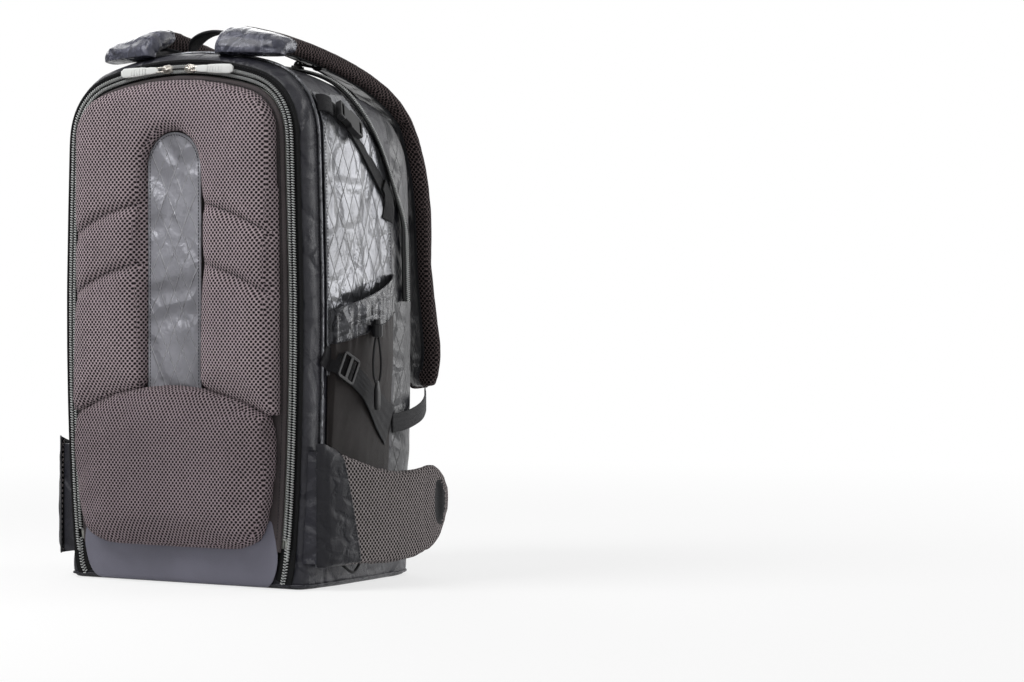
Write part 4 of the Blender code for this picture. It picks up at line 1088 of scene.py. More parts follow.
class BAG_OT_lid_face(Operator):
    """The lid's cloth border, and the laminated strip down its spine"""

    bl_idname = "bag.lid_face"
    bl_label = "Lid face"

    def execute(self, context):
        self.border()
        self.spine()
        return {"FINISHED"}

    def border(self):
        """The dark cloth round the lid's pads, with its seam."""
        low_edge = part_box("lid_panel")[0].z
        outline = moved_out(ZIP_LINE, -ZIP_INSET)
        rows = lid_rings(outline, low_edge, 0.9,
                         ((0.0066, -0.0034), (0.0068, -0.0052), (0.0078, -0.0064), (0.0100, -0.0070),
                          (0.0140, -0.0072), (0.0220, -0.0070), (0.0400, -0.0066)), (0.8, 0.5, 0.25, 0.0))
        cloth("lid_border", rows, "border_cloth", (0, -1, 0), closed=True, body="lid", slot="shell_cloth",
              stands_for=["lid_panel"])
        edge = [p for p in moved_out(outline, -0.0105) if p[2] > 0.05]
        half = [p for p in edge if p[0] > 0]
        line = evened(np.array(sorted(half, key=lambda p: p[2])), 160, False)
        line = np.vstack([line, line[::-1] * (-1, 1, 1)])
        line[:, 1] = ZIP_Y - 0.0074
        stitched("lid_border_stitch", line, (0, -1, 0), body="lid", slot="shell_cloth")

    def spine(self):
        """The laminated strip between the pads, sewn along its edges."""
        low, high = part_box("spine_strip")
        half, top = high.x, high.z
        bend = top - half
        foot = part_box("lumbar_pad")[1].z - 0.012
        z = np.concatenate([np.linspace(foot, bend, 56), bend + half * np.sin(np.linspace(0, math.pi / 2, 15))[1:]])
        x = np.linspace(-1, 1, 29)
        wide = np.where(z > bend, np.sqrt(np.maximum(half ** 2 - (z - bend) ** 2, 0)), half)
        grid = spots(x[None] * wide[:, None], low.y - 0.0012, z[:, None])
        grid = rumpled(grid, 0.0022, 24.0, 3.1, edge_fade(len(z), len(x), 0.2))
        piece = cloth("spine_cover", grid, "spine_laminate", (0, -1, 0), thick=0.0014, body="lid", slot="spine_cloth",
                      stands_for=["spine_strip"])
        rim = half - 0.0028
        side = spots(rim, low.y, np.linspace(foot + 0.01, bend, 60))
        arch = [(rim * math.cos(a), low.y, bend + rim * math.sin(a)) for a in np.linspace(0, math.pi, 24)]
        line = np.vstack([side, arch[1:-1], side[::-1] * (-1, 1, 1)])
        line = laid_on(surface_of(piece), line, (0, 1, 0), 0.0003)
        stitched("spine_stitch", line, (0, -1, 0), body="lid", slot="spine_cloth")


# ---------------------------------------------------------------- main zip

class BAG_OT_main_zip(Operator):
    """Both halves of the main zip, its sliders and its pulls"""

    bl_idname = "bag.main_zip"
    bl_label = "Main zip"

    def execute(self, context):
        self.half("body_zip_half", "bag", 1, "body_zip", ZIP_FOOT)
        self.half("lid_zip_half", "lid", -1, "lid_zip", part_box("lid_zip")[0].z)
        for word, sign in SIDES:
            kept(f"zip_slider_{word}", "nickel", 0.0004)
            self.pull(word, sign)
        return {"FINISHED"}

    def half(self, name, body, side, node, low):
        """One side of the zip: its teeth, its tape and the seam along the tape."""
        pitch = setting("tooth_pitch")
        line = zip_line(low)
        line = evened(line, int(along_of(line)[-1] / pitch), False)
        line[:, 1] = ZIP_Y - 0.0031
        t = travel(line)
        out = outward(t) * -side
        places = []
        for k in range(len(line)):
            at = line[k] + t[k] * (pitch * 0.25 * side) + out[k] * 0.0026 - np.array([0, 0.0012, 0])
            lean = t[k] + out[k] * 0.34 * side
            places.append(basis(at, Vector(lean), (0, -1, 0)))
        # The teeth take the coil's light grey, a painted highlight for their glints.
        repeated(name, small_block((0.00125, 0.0036, 0.0028), 0.0005), places, "zip_coil", body=body,
                 slot="zip_coil", stands_for=[node])
        shape = np.array([(0.0006, 0.0004), (0.0098, 0.0004), (0.0102, 0.0010), (0.0098, 0.0022), (0.0086, 0.0028),
                          (0.0072, 0.0022), (0.0060, 0.0017), (0.0042, 0.0016), (0.0006, 0.0014)])
        if side < 0:
            shape[:, 0] = np.minimum(shape[:, 0] * 0.62, 0.0061)
        rail = evened(line, 420, False)
        rail[:, 1] = ZIP_Y
        out = outward(travel(rail)) * -side
        rows = rail[:, None] + out[:, None] * shape[None, :, 0, None] + np.array([0, -1, 0]) * shape[None, :, 1, None]
        cloth(name + "_tape", capped(rows), "zip_tape", closed=True, body=body, slot="zip_coil")
        seam = rail + out * (0.0079 if side > 0 else 0.0052)
        seam[:, 1] = ZIP_Y - (0.0029 if side > 0 else 0.0019)
        stitched(name + "_stitch", seam, (0, -1, 0), body=body, slot="zip_coil", wide=0.0006)

    def pull(self, word, sign):
        """A zip pull: its bent wire and its moulded grip with ridges."""
        joint = JOINT[f"zip_pull_{word}_swing"]
        at = Vector(joint["pos_m"])
        along = Vector((0, 1, 0)).cross(Vector(joint["axis"])).normalized()
        along = along if along.x * sign > 0 else -along
        place = basis(at, along, (0, -1, 0))
        wire = [(0.013, 0.0019, 0), (0.006, 0.0021, 0), (0.0005, 0.0021, 0), (-0.0008, 0.0012, 0)]
        wire += [(x, -y, z) for x, y, z in wire[::-1]]
        path = np.array([place @ Vector(p) for p in curved(wire, 40)])
        cord_piece(f"pull_wire_{word}", path, 0.0016, "nickel", body=f"pull_{word}", slot="nickel")
        body = curved([(0.0095, 0, 0), (0.020, 0, 0), (0.034, 0, 0), (0.046, 0, 0), (0.0585, 0, 0)], 34)
        u = np.linspace(0, 1, 34)
        sizes = (0.62 + 0.38 * np.sin(np.clip(u * 1.25, 0, 1) * math.pi / 2)) * np.clip(
            np.minimum(u, 1 - u) / 0.07, 0.35, 1) ** 0.5
        sizes *= 1 - 0.10 * np.exp(-((u - 0.30) / 0.06) ** 2)
        path = np.array([place @ Vector(p) for p in body])
        up = np.array(place.to_3x3() @ Vector((0, 0, 1)))
        grip = new_piece(f"pull_grip_{word}", swept_mesh(path, oval(0.0100, 0.0036, 16, 0.7), up, sizes=sizes), "grip",
                         body=f"pull_{word}", slot="pull_grip", stands_for=[f"zip_pull_{word}"])
        subdivided(grip)
        ridges = [place @ Matrix.Translation((0.026 + 0.0036 * k, 0, 0.0017)) for k in range(6)]
        repeated(f"pull_ridges_{word}", small_block((0.0012, 0.0062, 0.0008), 0.0003), ridges, "grip",
                 body=f"pull_{word}", slot="pull_grip")


# ---------------------------------------------------------------- shell

class BAG_OT_shell(Operator):
    """The camera compartment's outside: its front border and piping, its sides, and the base"""

    bl_idname = "bag.shell"
    bl_label = "Shell"

    def execute(self, context):
        self.border()
        self.sides()
        self.base()
        return {"FINISHED"}

    def border(self):
        """The padded border round the opening, its piping and its seam."""
        depths = (0.0004, 0.0020, 0.0050, 0.0090, 0.0130, 0.0165, 0.0195)
        rings = [section("main_shell", d) for d in depths]
        first = moved_out(ZIP_LINE, 0.0076)
        first[:, 1] = ZIP_Y - 0.0002
        rows = np.array([first, *rings])
        for k, lift in enumerate((0, 0.0002, 0.0008, 0.0012, 0.0013, 0.0010, 0.0006, 0.0)):
            rows[k] = moved_out(rows[k], lift)
        fade = np.array([0, 0.3, 0.8, 1, 1, 0.9, 0.5, 0.1])[:, None]
        rows = rumpled(rows, 0.0007, 60.0, 1.0, fade)
        cloth("front_border", rows, "navy_satin", "out", closed=True, rounded=True, slot="shell_cloth",
              stands_for=["main_shell"])
        edge = moved_out(section("main_shell", 0.0205), 0.0012)
        ups = outward(travel(edge, closed=True))
        new_piece("border_piping", swept_mesh(edge, oval(0.0034, 0.0034, 8), ups, closed=True), "laminate",
                  slot="shell_cloth")
        line = moved_out(section("main_shell", 0.0160), 0.0017)
        line = np.vstack([line, line[:1]])
        stitched("border_stitch", line, outward(travel(line)), slot="shell_cloth")

    def sides(self):
        """The satin cloth round the shell."""
        depths = np.concatenate([[0.0210, 0.0240, 0.0300], np.linspace(0.042, 0.156, 11), [0.1605, 0.1648]])
        rows = np.array([section("main_shell", d) for d in depths])
        fade = np.clip(np.minimum(np.arange(len(depths)), np.arange(len(depths))[::-1]) / 2.5, 0, 1)
        rows = rumpled(rows, 0.0010, 20.0, 5.0, fade[:, None])
        cloth("side_cloth", rows, "navy_satin", "out", closed=True, rounded=True, slot="shell_cloth")

    def base(self):
        """The floor's cloth, turned up round the foot of the shell, and its piping."""
        depths = np.concatenate([[0.0006, 0.004, 0.010], np.linspace(0.02, 0.16, 8),
                                 [0.17, 0.19, 0.21, 0.224, 0.2345]])
        wide = []
        for depth in depths:
            loop = slices("main_shell" if depth < 0.1652 else "laptop_compartment", depth)[0]
            wide.append(float(loop[abs(loop[:, 1] - 0.036) < 0.03, 0].max()))
        right = np.stack([wide, ZIP_Y + depths], 1)
        ring = np.vstack([right, (right * (-1, 1))[::-1]])
        ring = relaxed(evened(ring, 300), 5)
        ring = ring if moved_out(ring, 0.01)[:, 0].max() > ring[:, 0].max() else ring[::-1]
        rows = []
        for out, z in ((0.0006, 0.0300), (0.0014, 0.0240), (0.0018, 0.0150), (0.0016, 0.0075), (0.0006, 0.0035),
                       (-0.0020, 0.0010), (-0.0060, 0.0)):
            flat = moved_out(ring, out)
            flat[:, 1] = np.maximum(flat[:, 1], ZIP_Y - 0.0012)
            rows.append(spots(flat[:, 0], flat[:, 1], z))
        fade = np.array([0.0, 0.6, 1, 0.6, 0.2, 0, 0])[:, None]
        rows = list(rumpled(np.array(rows), 0.0008, 40.0, 8.0, fade))
        last, centre = rows[-1], np.array([0.0, 0.02, 0.0])
        rows += [centre + (last - centre) * share for share in (0.6, 0.3, 0.0)]
        cloth("base_cloth", rows, "navy_satin", closed=True, rounded=True, slot="shell_cloth",
              stands_for=["base_cover"])
        line = moved_out(ring, 0.0014)
        line = spots(line[:, 0], np.maximum(line[:, 1], ZIP_Y - 0.0014), 0.0048)
        new_piece("base_piping", swept_mesh(line, oval(0.0028, 0.0028, 8), (0, 0, 1.0), closed=True), "navy_satin",
                  slot="shell_cloth")


class BAG_OT_lower_band(Operator):
    """The slate cloth under the lumbar pad, which lies across the lid's hinge, and the lower ends of the zip"""

    bl_idname = "bag.lower_band"
    bl_label = "Lower band"

    def execute(self, context):
        x = np.linspace(-1, 1, 81)
        rows = []
        for z, y, wide in ((0.0700, -0.0074, 0.1190), (0.0600, -0.0078, 0.1215), (0.0500, -0.0078, 0.1240),
                           (0.0440, -0.0076, 0.1250), (0.0400, -0.0072, 0.1255), (0.0370, -0.0068, 0.1258),
                           (0.0345, -0.0064, 0.1258), (0.0320, -0.0060, 0.1256), (0.0280, -0.0056, 0.1250),
                           (0.0220, -0.0052, 0.1238), (0.0150, -0.0048, 0.1215), (0.0090, -0.0042, 0.1185),
                           (0.0050, -0.0034, 0.1150), (0.0022, -0.0022, 0.1110), (0.0010, 0.0010, 0.1060)):
            rows.append(spots(x * wide, ZIP_Y + y, z))
        rows = rumpled(rows, 0.0007, 26.0, 9.0, edge_fade(len(rows), 81, 0.15))
        band = cloth("lower_band", rows, "slate_satin", (0, -1, 0), thick=0.0010, rounded=True, body=None)
        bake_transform(band)
        for word, sign in SIDES:
            self.foot(word, sign)
        return {"FINISHED"}

    def foot(self, word, sign):
        """The last few teeth and their tape, which stay on the bag when the lid opens."""
        top = zip_line(0.0375)[0 if sign > 0 else -1]
        line = curved([top * (1, 0, 1) + (0, ZIP_Y - 0.0031, 0), (top[0] - sign * 0.0012, ZIP_Y - 0.0034, 0.026),
                       (top[0] - sign * 0.0032, ZIP_Y - 0.0034, 0.015),
                       (top[0] - sign * 0.0062, ZIP_Y - 0.0024, 0.0065)], 40)
        closed_zip(f"zip_foot_{word}", line, np.broadcast_to(np.array([0, -1.0, 0]), line.shape), 0.0078,
                   setting("tooth_pitch"))
        shape = oval(0.0200, 0.0022, 16, 0.4) - (0, 0.0016)
        new_piece(f"zip_foot_tape_{word}", swept_mesh(line, shape, (0, -1.0, 0)), "zip_tape", slot="zip_coil")


# ---------------------------------------------------------------- cords and webbing

CORD_LOOP = [(-0.0022, 0.2524), (-0.0050, 0.2420), (-0.0068, 0.2260), (-0.0050, 0.2110), (0.0, 0.2055),
             (0.0050, 0.2110), (0.0068, 0.2260), (0.0050, 0.2420), (0.0022, 0.2524)]
CORD_D = 0.0025
BUNGEE = [(-0.106, 0.473), (-0.062, 0.462), (0.000, 0.457), (0.060, 0.456), (0.108, 0.450)]   # X and height
# Depth and height of the straps on the bag's sides, and X, depth and height of the straps that hang from the carriers
COMPRESSION = [(0.0280, 0.489), (0.0460, 0.484), (0.0680, 0.4725), (0.0930, 0.452), (0.1200, 0.427), (0.1480, 0.401)]
ANCHOR = [(0.0200, 0.236), (0.0450, 0.222), (0.0700, 0.206), (0.0950, 0.188), (0.1200, 0.172), (0.1440, 0.161)]
LOWER_STRAP = [(0.1545, 0.1500, 0.1625), (0.1530, 0.1800, 0.1655), (0.1460, 0.2140, 0.1725), (0.1290, 0.2470, 0.1800),
               (0.1080, 0.2770, 0.1855)]


def side_points(route, sign, nodes, lift, count):
    """A smooth route of depths and heights, dropped on one side of the bag."""
    line = curved([(sign * 0.26, ZIP_Y + d, z) for d, z in route], count)
    out = None
    for node in nodes:
        hit = laid_on(surface_of(node), line[None], (-sign, 0, 0), lift, 0.2)[0]
        hit[abs(hit[:, 0]) > 0.25, 0] = 0.0
        out = hit if out is None else np.where((abs(hit[:, :1]) > abs(out[:, :1])), hit, out)
    return out


class BAG_OT_drawcords(Operator):
    """The drawcord loop of each bottle pocket, hanging from its lock, with the lock and the tab on the loop"""

    bl_idname = "bag.drawcords"
    bl_label = "Drawcords"

    def execute(self, context):
        for word, sign in SIDES:
            low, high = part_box(f"pocket_cord_lock_{word}")
            middle = (low + high) / 2
            path = curved([(middle.x, middle.y + y, z) for y, z in CORD_LOOP], 40)
            cord = cord_piece(f"drawcord_{word}", path, CORD_D, "braid", slot="webbing",
                              stands_for=[f"pocket_cord_{word}"])
            kept(f"pocket_cord_lock_{word}", "black_plastic", 0.0004)
            foot = Vector((middle.x, middle.y, CORD_LOOP[4][1]))
            tab = [foot + Vector((0, 0, z)) for z in (0.0035, -0.001, -0.010, -0.022, -0.0265)]
            u = np.linspace(0, 1, 16)
            sizes = 0.55 + 0.45 * np.clip(u / 0.35, 0, 1) ** 1.5 - 0.25 * np.clip((u - 0.85) / 0.15, 0, 1)
            tab = new_piece(f"drawcord_tab_{word}", swept_mesh(curved(tab, 16), oval(0.0088, 0.0050, 12, 0.7),
                                                               (sign, 0, 0), sizes=sizes),
                            "black_plastic", slot="black_plastic")
            subdivided(tab)
            tuple(path[0])
            float(along_of(path)[-1])
            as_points(path)
        return {"FINISHED"}


class BAG_OT_webbing(Operator):
    """The straps that compress and carry the bag, with their buckles, sliders and sewn ends"""

    bl_idname = "bag.webbing"
    bl_label = "Webbing"

    def execute(self, context):
        for word, sign in SIDES:
            out = (sign, 0, 0.45)
            path = side_points(COMPRESSION, sign, ["main_shell", "laptop_compartment"], 0.0022, 60)
            strap_piece(f"compression_strap_{word}", path, out, 0.019, stands_for=[f"compression_webbing_{word}"])
            tail = side_points([(0.1400, 0.410), (0.1475, 0.400), (0.1500, 0.386), (0.1460, 0.372)], sign,
                               ["main_shell"], 0.0048, 24)
            strap_piece(f"compression_tail_{word}", tail, out, 0.017)
            kept(f"side_buckle_{word}", "black_plastic", 0.0009, 3)
            path = side_points(ANCHOR, sign, ["main_shell", f"bottle_pocket_{word}"], 0.0018, 60)
            wide = np.interp(np.linspace(0, 1, 60), [0, 0.5, 1], [1.0, 1.0, 2.0])
            new_piece(f"anchor_webbing_{word}", swept_mesh(path, oval(0.022, 0.0015, 20, 0.3) + (0, 0.00075),
                                                           (sign, 0, 0), sizes=wide, heights=1.0),
                      "webbing", slot="webbing", stands_for=[f"anchor_strap_{word}"])
            kept(f"tri_glide_{word}", "black_plastic", 0.0007, 3)
            line = curved([(sign * x, ZIP_Y + d, z) for x, d, z in LOWER_STRAP], 60)
            strap_piece(f"lower_strap_{word}", line, (sign, 0.6, 0), 0.020, stands_for=[f"strap_webbing_{word}"])
            self.foot_loop(word, sign)
            self.top_tab(word, sign)
        return {"FINISHED"}

    def foot_loop(self, word, sign):
        """The small loop of cord sewn in at the foot, behind a wing's root."""
        tree = surface_of("main_shell")
        ends = laid_on(tree, np.array([[sign * 0.25, ZIP_Y + d, 0.0300] for d in (0.050, 0.096)]), (-sign, 0, 0), 0.0,
                       0.15)
        loop = [(ends[k][0] + sign * out, ends[k][1] + y, z) for k, out, y, z in
                ((0, -0.001, 0, 0.030), (0, 0.0095, 0.004, 0.0240), (0, 0.0120, 0.018, 0.0150),
                 (1, 0.0120, -0.016, 0.0150), (1, 0.0095, -0.004, 0.0240), (1, -0.001, 0, 0.030))]
        cord_piece(f"foot_loop_{word}", curved(loop, 48), 0.0028, "braid", slot="webbing")

    def top_tab(self, word, sign):
        """The folded webbing tab above a compression strap."""
        start = COMPRESSION[0]
        base = side_points([start, (start[0] + 0.016, start[1] - 0.006)], sign, ["main_shell"], 0.0030, 12)
        n = unit(np.array([sign, 0, 0.45]))
        fold = [base[0] - n * 0.002, base[3] + n * 0.0022, base[8] + n * 0.0038, base[11] + n * 0.0022]
        strap_piece(f"compression_fold_{word}", curved(fold, 18), n, 0.0205, thick=0.0022)


# ---------------------------------------------------------------- carrying

STRAP_X, STRAP_W = 0.078, 0.072      # how far a shoulder strap lies from the middle, and its width
# Middle line as depth and height, and how far the outer edge rolls down or towards the bag, in degrees
STRAP_LINE = [(0.0110, 0.5385, 13), (0.0130, 0.5455, 13), (0.0200, 0.5520, 13), (0.0330, 0.5550, 14),
              (0.0600, 0.5535, 15), (0.1000, 0.5465, 16), (0.1500, 0.5350, 17), (0.2050, 0.5160, 18),
              (0.2480, 0.4860, 20), (0.2740, 0.4400, 23), (0.2850, 0.3850, 25), (0.2870, 0.3250, 26),
              (0.2940, 0.2600, 26), (0.2970, 0.2250, 26), (0.2900, 0.1930, 26)]
STRAP_HEM = 0.0150                   # how far the mesh is turned under along each edge


def strap_frame(sign, count=120):
    """Along a shoulder strap: its middle line, the ways across it and out of it, and its share of full width."""
    last = len(STRAP_LINE) - 1
    knots = np.array([(sign * (STRAP_X + 0.016 * (k / last) ** 2), ZIP_Y + d, z)
                      for k, (d, z, _) in enumerate(STRAP_LINE)])
    line = curved(knots, count)
    reach = along_of(knots)
    u = np.linspace(0, 1, count)
    roll = sign * np.radians(np.interp(u, reach / reach[-1], [k[2] for k in STRAP_LINE]))[:, None]
    t = travel(line)
    up = unit(np.cross((1.0, 0.0, 0.0), t))
    flat = np.cos(roll) * np.array([1.0, 0.0, 0.0]) - np.sin(roll) * up
    out = unit(np.cross(flat, t))
    return line, flat, out, np.where(u < 0.86, 1.0, 1.0 - 0.35 * ((u - 0.86) / 0.14) ** 2)


class BAG_OT_shoulder_straps(Operator):
    """The shoulder straps: mesh foam with a laminated underside, sewn edges and a cloth sleeve at the root"""

    bl_idname = "bag.shoulder_straps"
    bl_label = "Shoulder straps"

    def execute(self, context):
        for word, sign in SIDES:
            body = f"strap_{word}"
            pad = stuffed(f"shoulder_pad_{word}", f"shoulder_strap_{word}", "strap_mesh", 0.0042, 0.0025,
                          body=body, slack=0.0010)
            pad.data.materials.append(finish_of("dark_laminate"))
            line, flat, out, wide = strap_frame(sign)
            for face in pad.data.polygons:
                centre = np.array(face.center)
                k = int(np.argmin(np.sum((line - centre) ** 2, 1)))
                away = centre - line[k]
                if np.dot(out[k], away) < -0.0030 and abs(np.dot(flat[k], away)) < wide[k] * STRAP_W / 2 - STRAP_HEM:
                    face.material_index = 1
            subdivided(pad)
            tree = surface_of(pad)
            for edge, way in (("inner", -1), ("outer", 1)):
                path = line + flat * (way * (wide[:, None] * STRAP_W / 2 - STRAP_HEM)) - out * 0.0120
                near = [tree.find_nearest(Vector(q))[:2] for q in path[8:-4]]
                seam = relaxed([at + normal * 0.0002 for at, normal in near], 4, False)
                normals = np.array([normal for _, normal in near])
                new_piece(f"strap_seam_{edge}_{word}", swept_mesh(seam, oval(0.0052, 0.0018, 12, 0.6), normals),
                          "binding", body=body, slot="shell_cloth")
            self.sleeve(word, sign, body)
        return {"FINISHED"}

    def sleeve(self, word, sign, body):
        """The gathered cloth that a strap's root is sewn into."""
        line, flat, out, _ = strap_frame(sign, 500)
        last = int(np.argmax(line[:, 1] > ZIP_Y + 0.0400))
        count, rows = 72, 52
        line, flat, out = (evened(part[:last], rows, False) for part in (line, flat, out))
        a = np.linspace(0, 2 * math.pi, count, endpoint=False)
        grid = []
        for k in range(rows):
            u = k / (rows - 1)
            half = 0.0382 + 0.0008 * math.sin(math.pi * u)
            thick = 0.0088 + 0.0022 * math.sin(math.pi * min(u * 1.1, 1.0))
            x = half * np.sign(np.cos(a)) * abs(np.cos(a)) ** 0.45
            y = thick * np.sign(np.sin(a)) * abs(np.sin(a)) ** 0.62
            grid.append(line[k] + np.outer(x, flat[k]) + np.outer(y, out[k]))
        grid = np.array(grid)
        fade = np.clip(np.minimum(np.arange(rows), rows - 1 - np.arange(rows)) / 5, 0.1, 1)[:, None]
        grid = rumpled(grid, 0.0012, 40.0, 2.0 + sign, fade)
        gather = np.array([[noise.noise(Vector((grid[k, j, 0] * 190, k * 0.10, 3.0 * sign))) for j in range(count)]
                           for k in range(rows)])
        grid += out[:, None] * (gather * 0.0009 * fade)[..., None]
        lip = [grid[-1] + (line[-1] - grid[-1]) * share for share in (0.06, 0.10)]
        deep = [np.array(lip[-1]) - travel(line)[-1] * 0.010]
        start = np.broadcast_to(grid[0].mean(0), grid[0].shape)[None]
        rows = np.concatenate([start, grid, np.array(lip), np.array(deep)])
        cloth(f"strap_sleeve_{word}", rows, "sleeve_cloth", closed=True, rounded=True, body=body, slot="laminate")
        hem = grid[-4, [j % count for j in range(-4, count // 2 + 5)]]
        stitched(f"sleeve_stitch_{word}", hem + out[-4] * 0.0003, out[-4], body=body, slot="laminate")


class BAG_OT_handle(Operator):
    """The grab handle between the shoulder straps"""

    bl_idname = "bag.handle"
    bl_label = "Grab handle"

    def execute(self, context):
        joint = Vector(JOINT["handle_swing"]["pos_m"])
        low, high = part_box("grab_handle")
        a = np.linspace(0, math.pi, 60)
        reach, rise = (high.x - low.x) / 2 - 0.0019, high.z - joint.z - 0.0019
        arch = np.stack([reach * np.cos(a), np.full(60, joint.y), joint.z + rise * np.sin(a) ** 0.8], 1)
        foot = np.array([[reach, joint.y, joint.z + z] for z in (-0.0040, -0.0032, -0.0020, -0.0008)])
        arch = np.vstack([foot, evened(arch, 60, False), foot[::-1] * (-1, 1, 1)])
        half = np.interp(arch[:, 2] - joint.z, [-0.0040, -0.0032, -0.0020, 0.0, 0.004, 0.018],
                         [0.06, 0.22, 0.30, 0.348, 0.37, 1.0])
        shape = oval(0.0230, 0.0042, 18, 0.5)
        ups = arch - np.array([0, joint.y, joint.z - 0.01])
        handle = new_piece("handle_webbing", swept_mesh(arch, shape, ups, sizes=half), "webbing",
                           body="handle", slot="webbing", stands_for=["grab_handle"])
        subdivided(handle)
        return {"FINISHED"}


class BAG_OT_hip_wings(Operator):
    """The padded hip wings, each with its laminated front strip, and painted shade in dark cloth over the window near
    its tip, which is left solid
    """

    bl_idname = "bag.hip_wings"
    bl_label = "Hip wings"

    def execute(self, context):
        for word, sign in SIDES:
            body = f"wing_{word}"
            pad = stuffed(f"wing_pad_{word}", f"hip_wing_{word}", "wing_mesh", 0.0035, 0.0030, body=body,
                          slack=0.0008)
            pad.data.materials.append(finish_of("dark_cloth"))
            for face in pad.data.polygons:
                x, y, z = face.center
                depth = y - ZIP_Y
                # An oval near the tip also takes the dark cloth: painted shade where the window goes through the wing.
                inside = ((depth - 0.1850) / 0.0118) ** 2 + ((z - 0.081) / 0.0236) ** 2 < 1.0
                if face.normal.x * sign < -0.35 or (inside and abs(x) > 0.178):
                    face.material_index = 1
            subdivided(pad)
            self.strip(word, sign, body, pad)
            kept(f"wing_root_{word}", "navy_satin", 0.0)
        return {"FINISHED"}

    def strip(self, word, sign, body, pad):
        """The cloth strip over a wing's root, with its seam."""
        tree = surface_of(pad)
        rows = []
        for v in np.linspace(0, 1, 40):
            depth = np.linspace(0.0030, 0.0500 - 0.0240 * v, 20)
            z = 0.0236 + (np.interp(depth, (0.0075, 0.024, 0.048), (0.1478, 0.1422, 0.1342)) - 0.0236) * v
            rows.append(spots(sign * 0.25, ZIP_Y + depth, z))
        grid = laid_on(tree, np.array(rows), (-sign, 0, 0), 0.0018, 0.12)
        lead = np.clip((grid[..., 1] - ZIP_Y - 0.0030) / 0.0080, 0, 1)
        front, found = 0.1668 + 0.0072 * np.sin(lead * math.pi / 2), abs(grid[..., 0])
        over = np.where(lead > 0.99, found, np.maximum(found, front))
        grid[..., 0] = sign * np.where(found < 0.24, over, front)
        grid = rumpled(grid, 0.0010, 60.0, 4.0 * sign, edge_fade(40, 20, 0.15))
        # The strip takes the darker copy of the navy satin: painted shade.
        cloth(f"wing_strip_{word}", grid, "strip_cloth", (sign, 0, 0), thick=0.0010, rounded=True, body=body,
              slot="laminate")
        seam = grid[1:-1, 18] + np.array([sign * 0.0004, 0, 0])
        stitched(f"wing_stitch_{word}", seam, (sign, 0, 0), body=body, slot="laminate")


# ---------------------------------------------------------------- sides

POCKET_D = (0.034, 0.152)


def pocket_mouth(depth):
    """Height of the bottle pocket's sloping mouth."""
    return 0.281 + 0.30 * (depth - POCKET_D[0])


def zip_depth(z):
    """Depth of the laptop compartment's zip at a height."""
    t = np.clip((z - 0.39) / 0.12, 0.0, 1.0)
    return 0.186 - 0.082 * t * t * (3 - 2 * t)


class BAG_OT_side_panels(Operator):
    """The glossy laminated panel on each side, between the front border, the pocket and the laptop zip"""

    bl_idname = "bag.side_panels"
    bl_label = "Side panels"

    def execute(self, context):
        tree = surface_of("main_shell")
        for word, sign in SIDES:
            rows = []
            for z in np.linspace(0.215, 0.5000, 110):
                end = min(0.1585, zip_depth(z) - 0.0150)
                rows.append(spots(sign * 0.25, ZIP_Y + np.linspace(0.0270, end, 52), z))
            grid = laid_on(tree, np.array(rows), (-sign, 0, 0), 0.0024, 0.15)
            grid = creased(grid, 0.0017, 24.0, 7.0 + 3 * sign, edge_fade(110, 52, 0.10))
            cloth(f"side_panel_{word}", grid, "laminate", (sign, 0, 0), thick=0.0011, slot="laminate")
            for name, line in (("front", grid[2:-2, 1]), ("back", grid[2:-2, -2])):
                stitched(f"panel_stitch_{name}_{word}", line + (sign * 0.0006, 0, 0), (sign, 0, 0), slot="laminate")
        return {"FINISHED"}


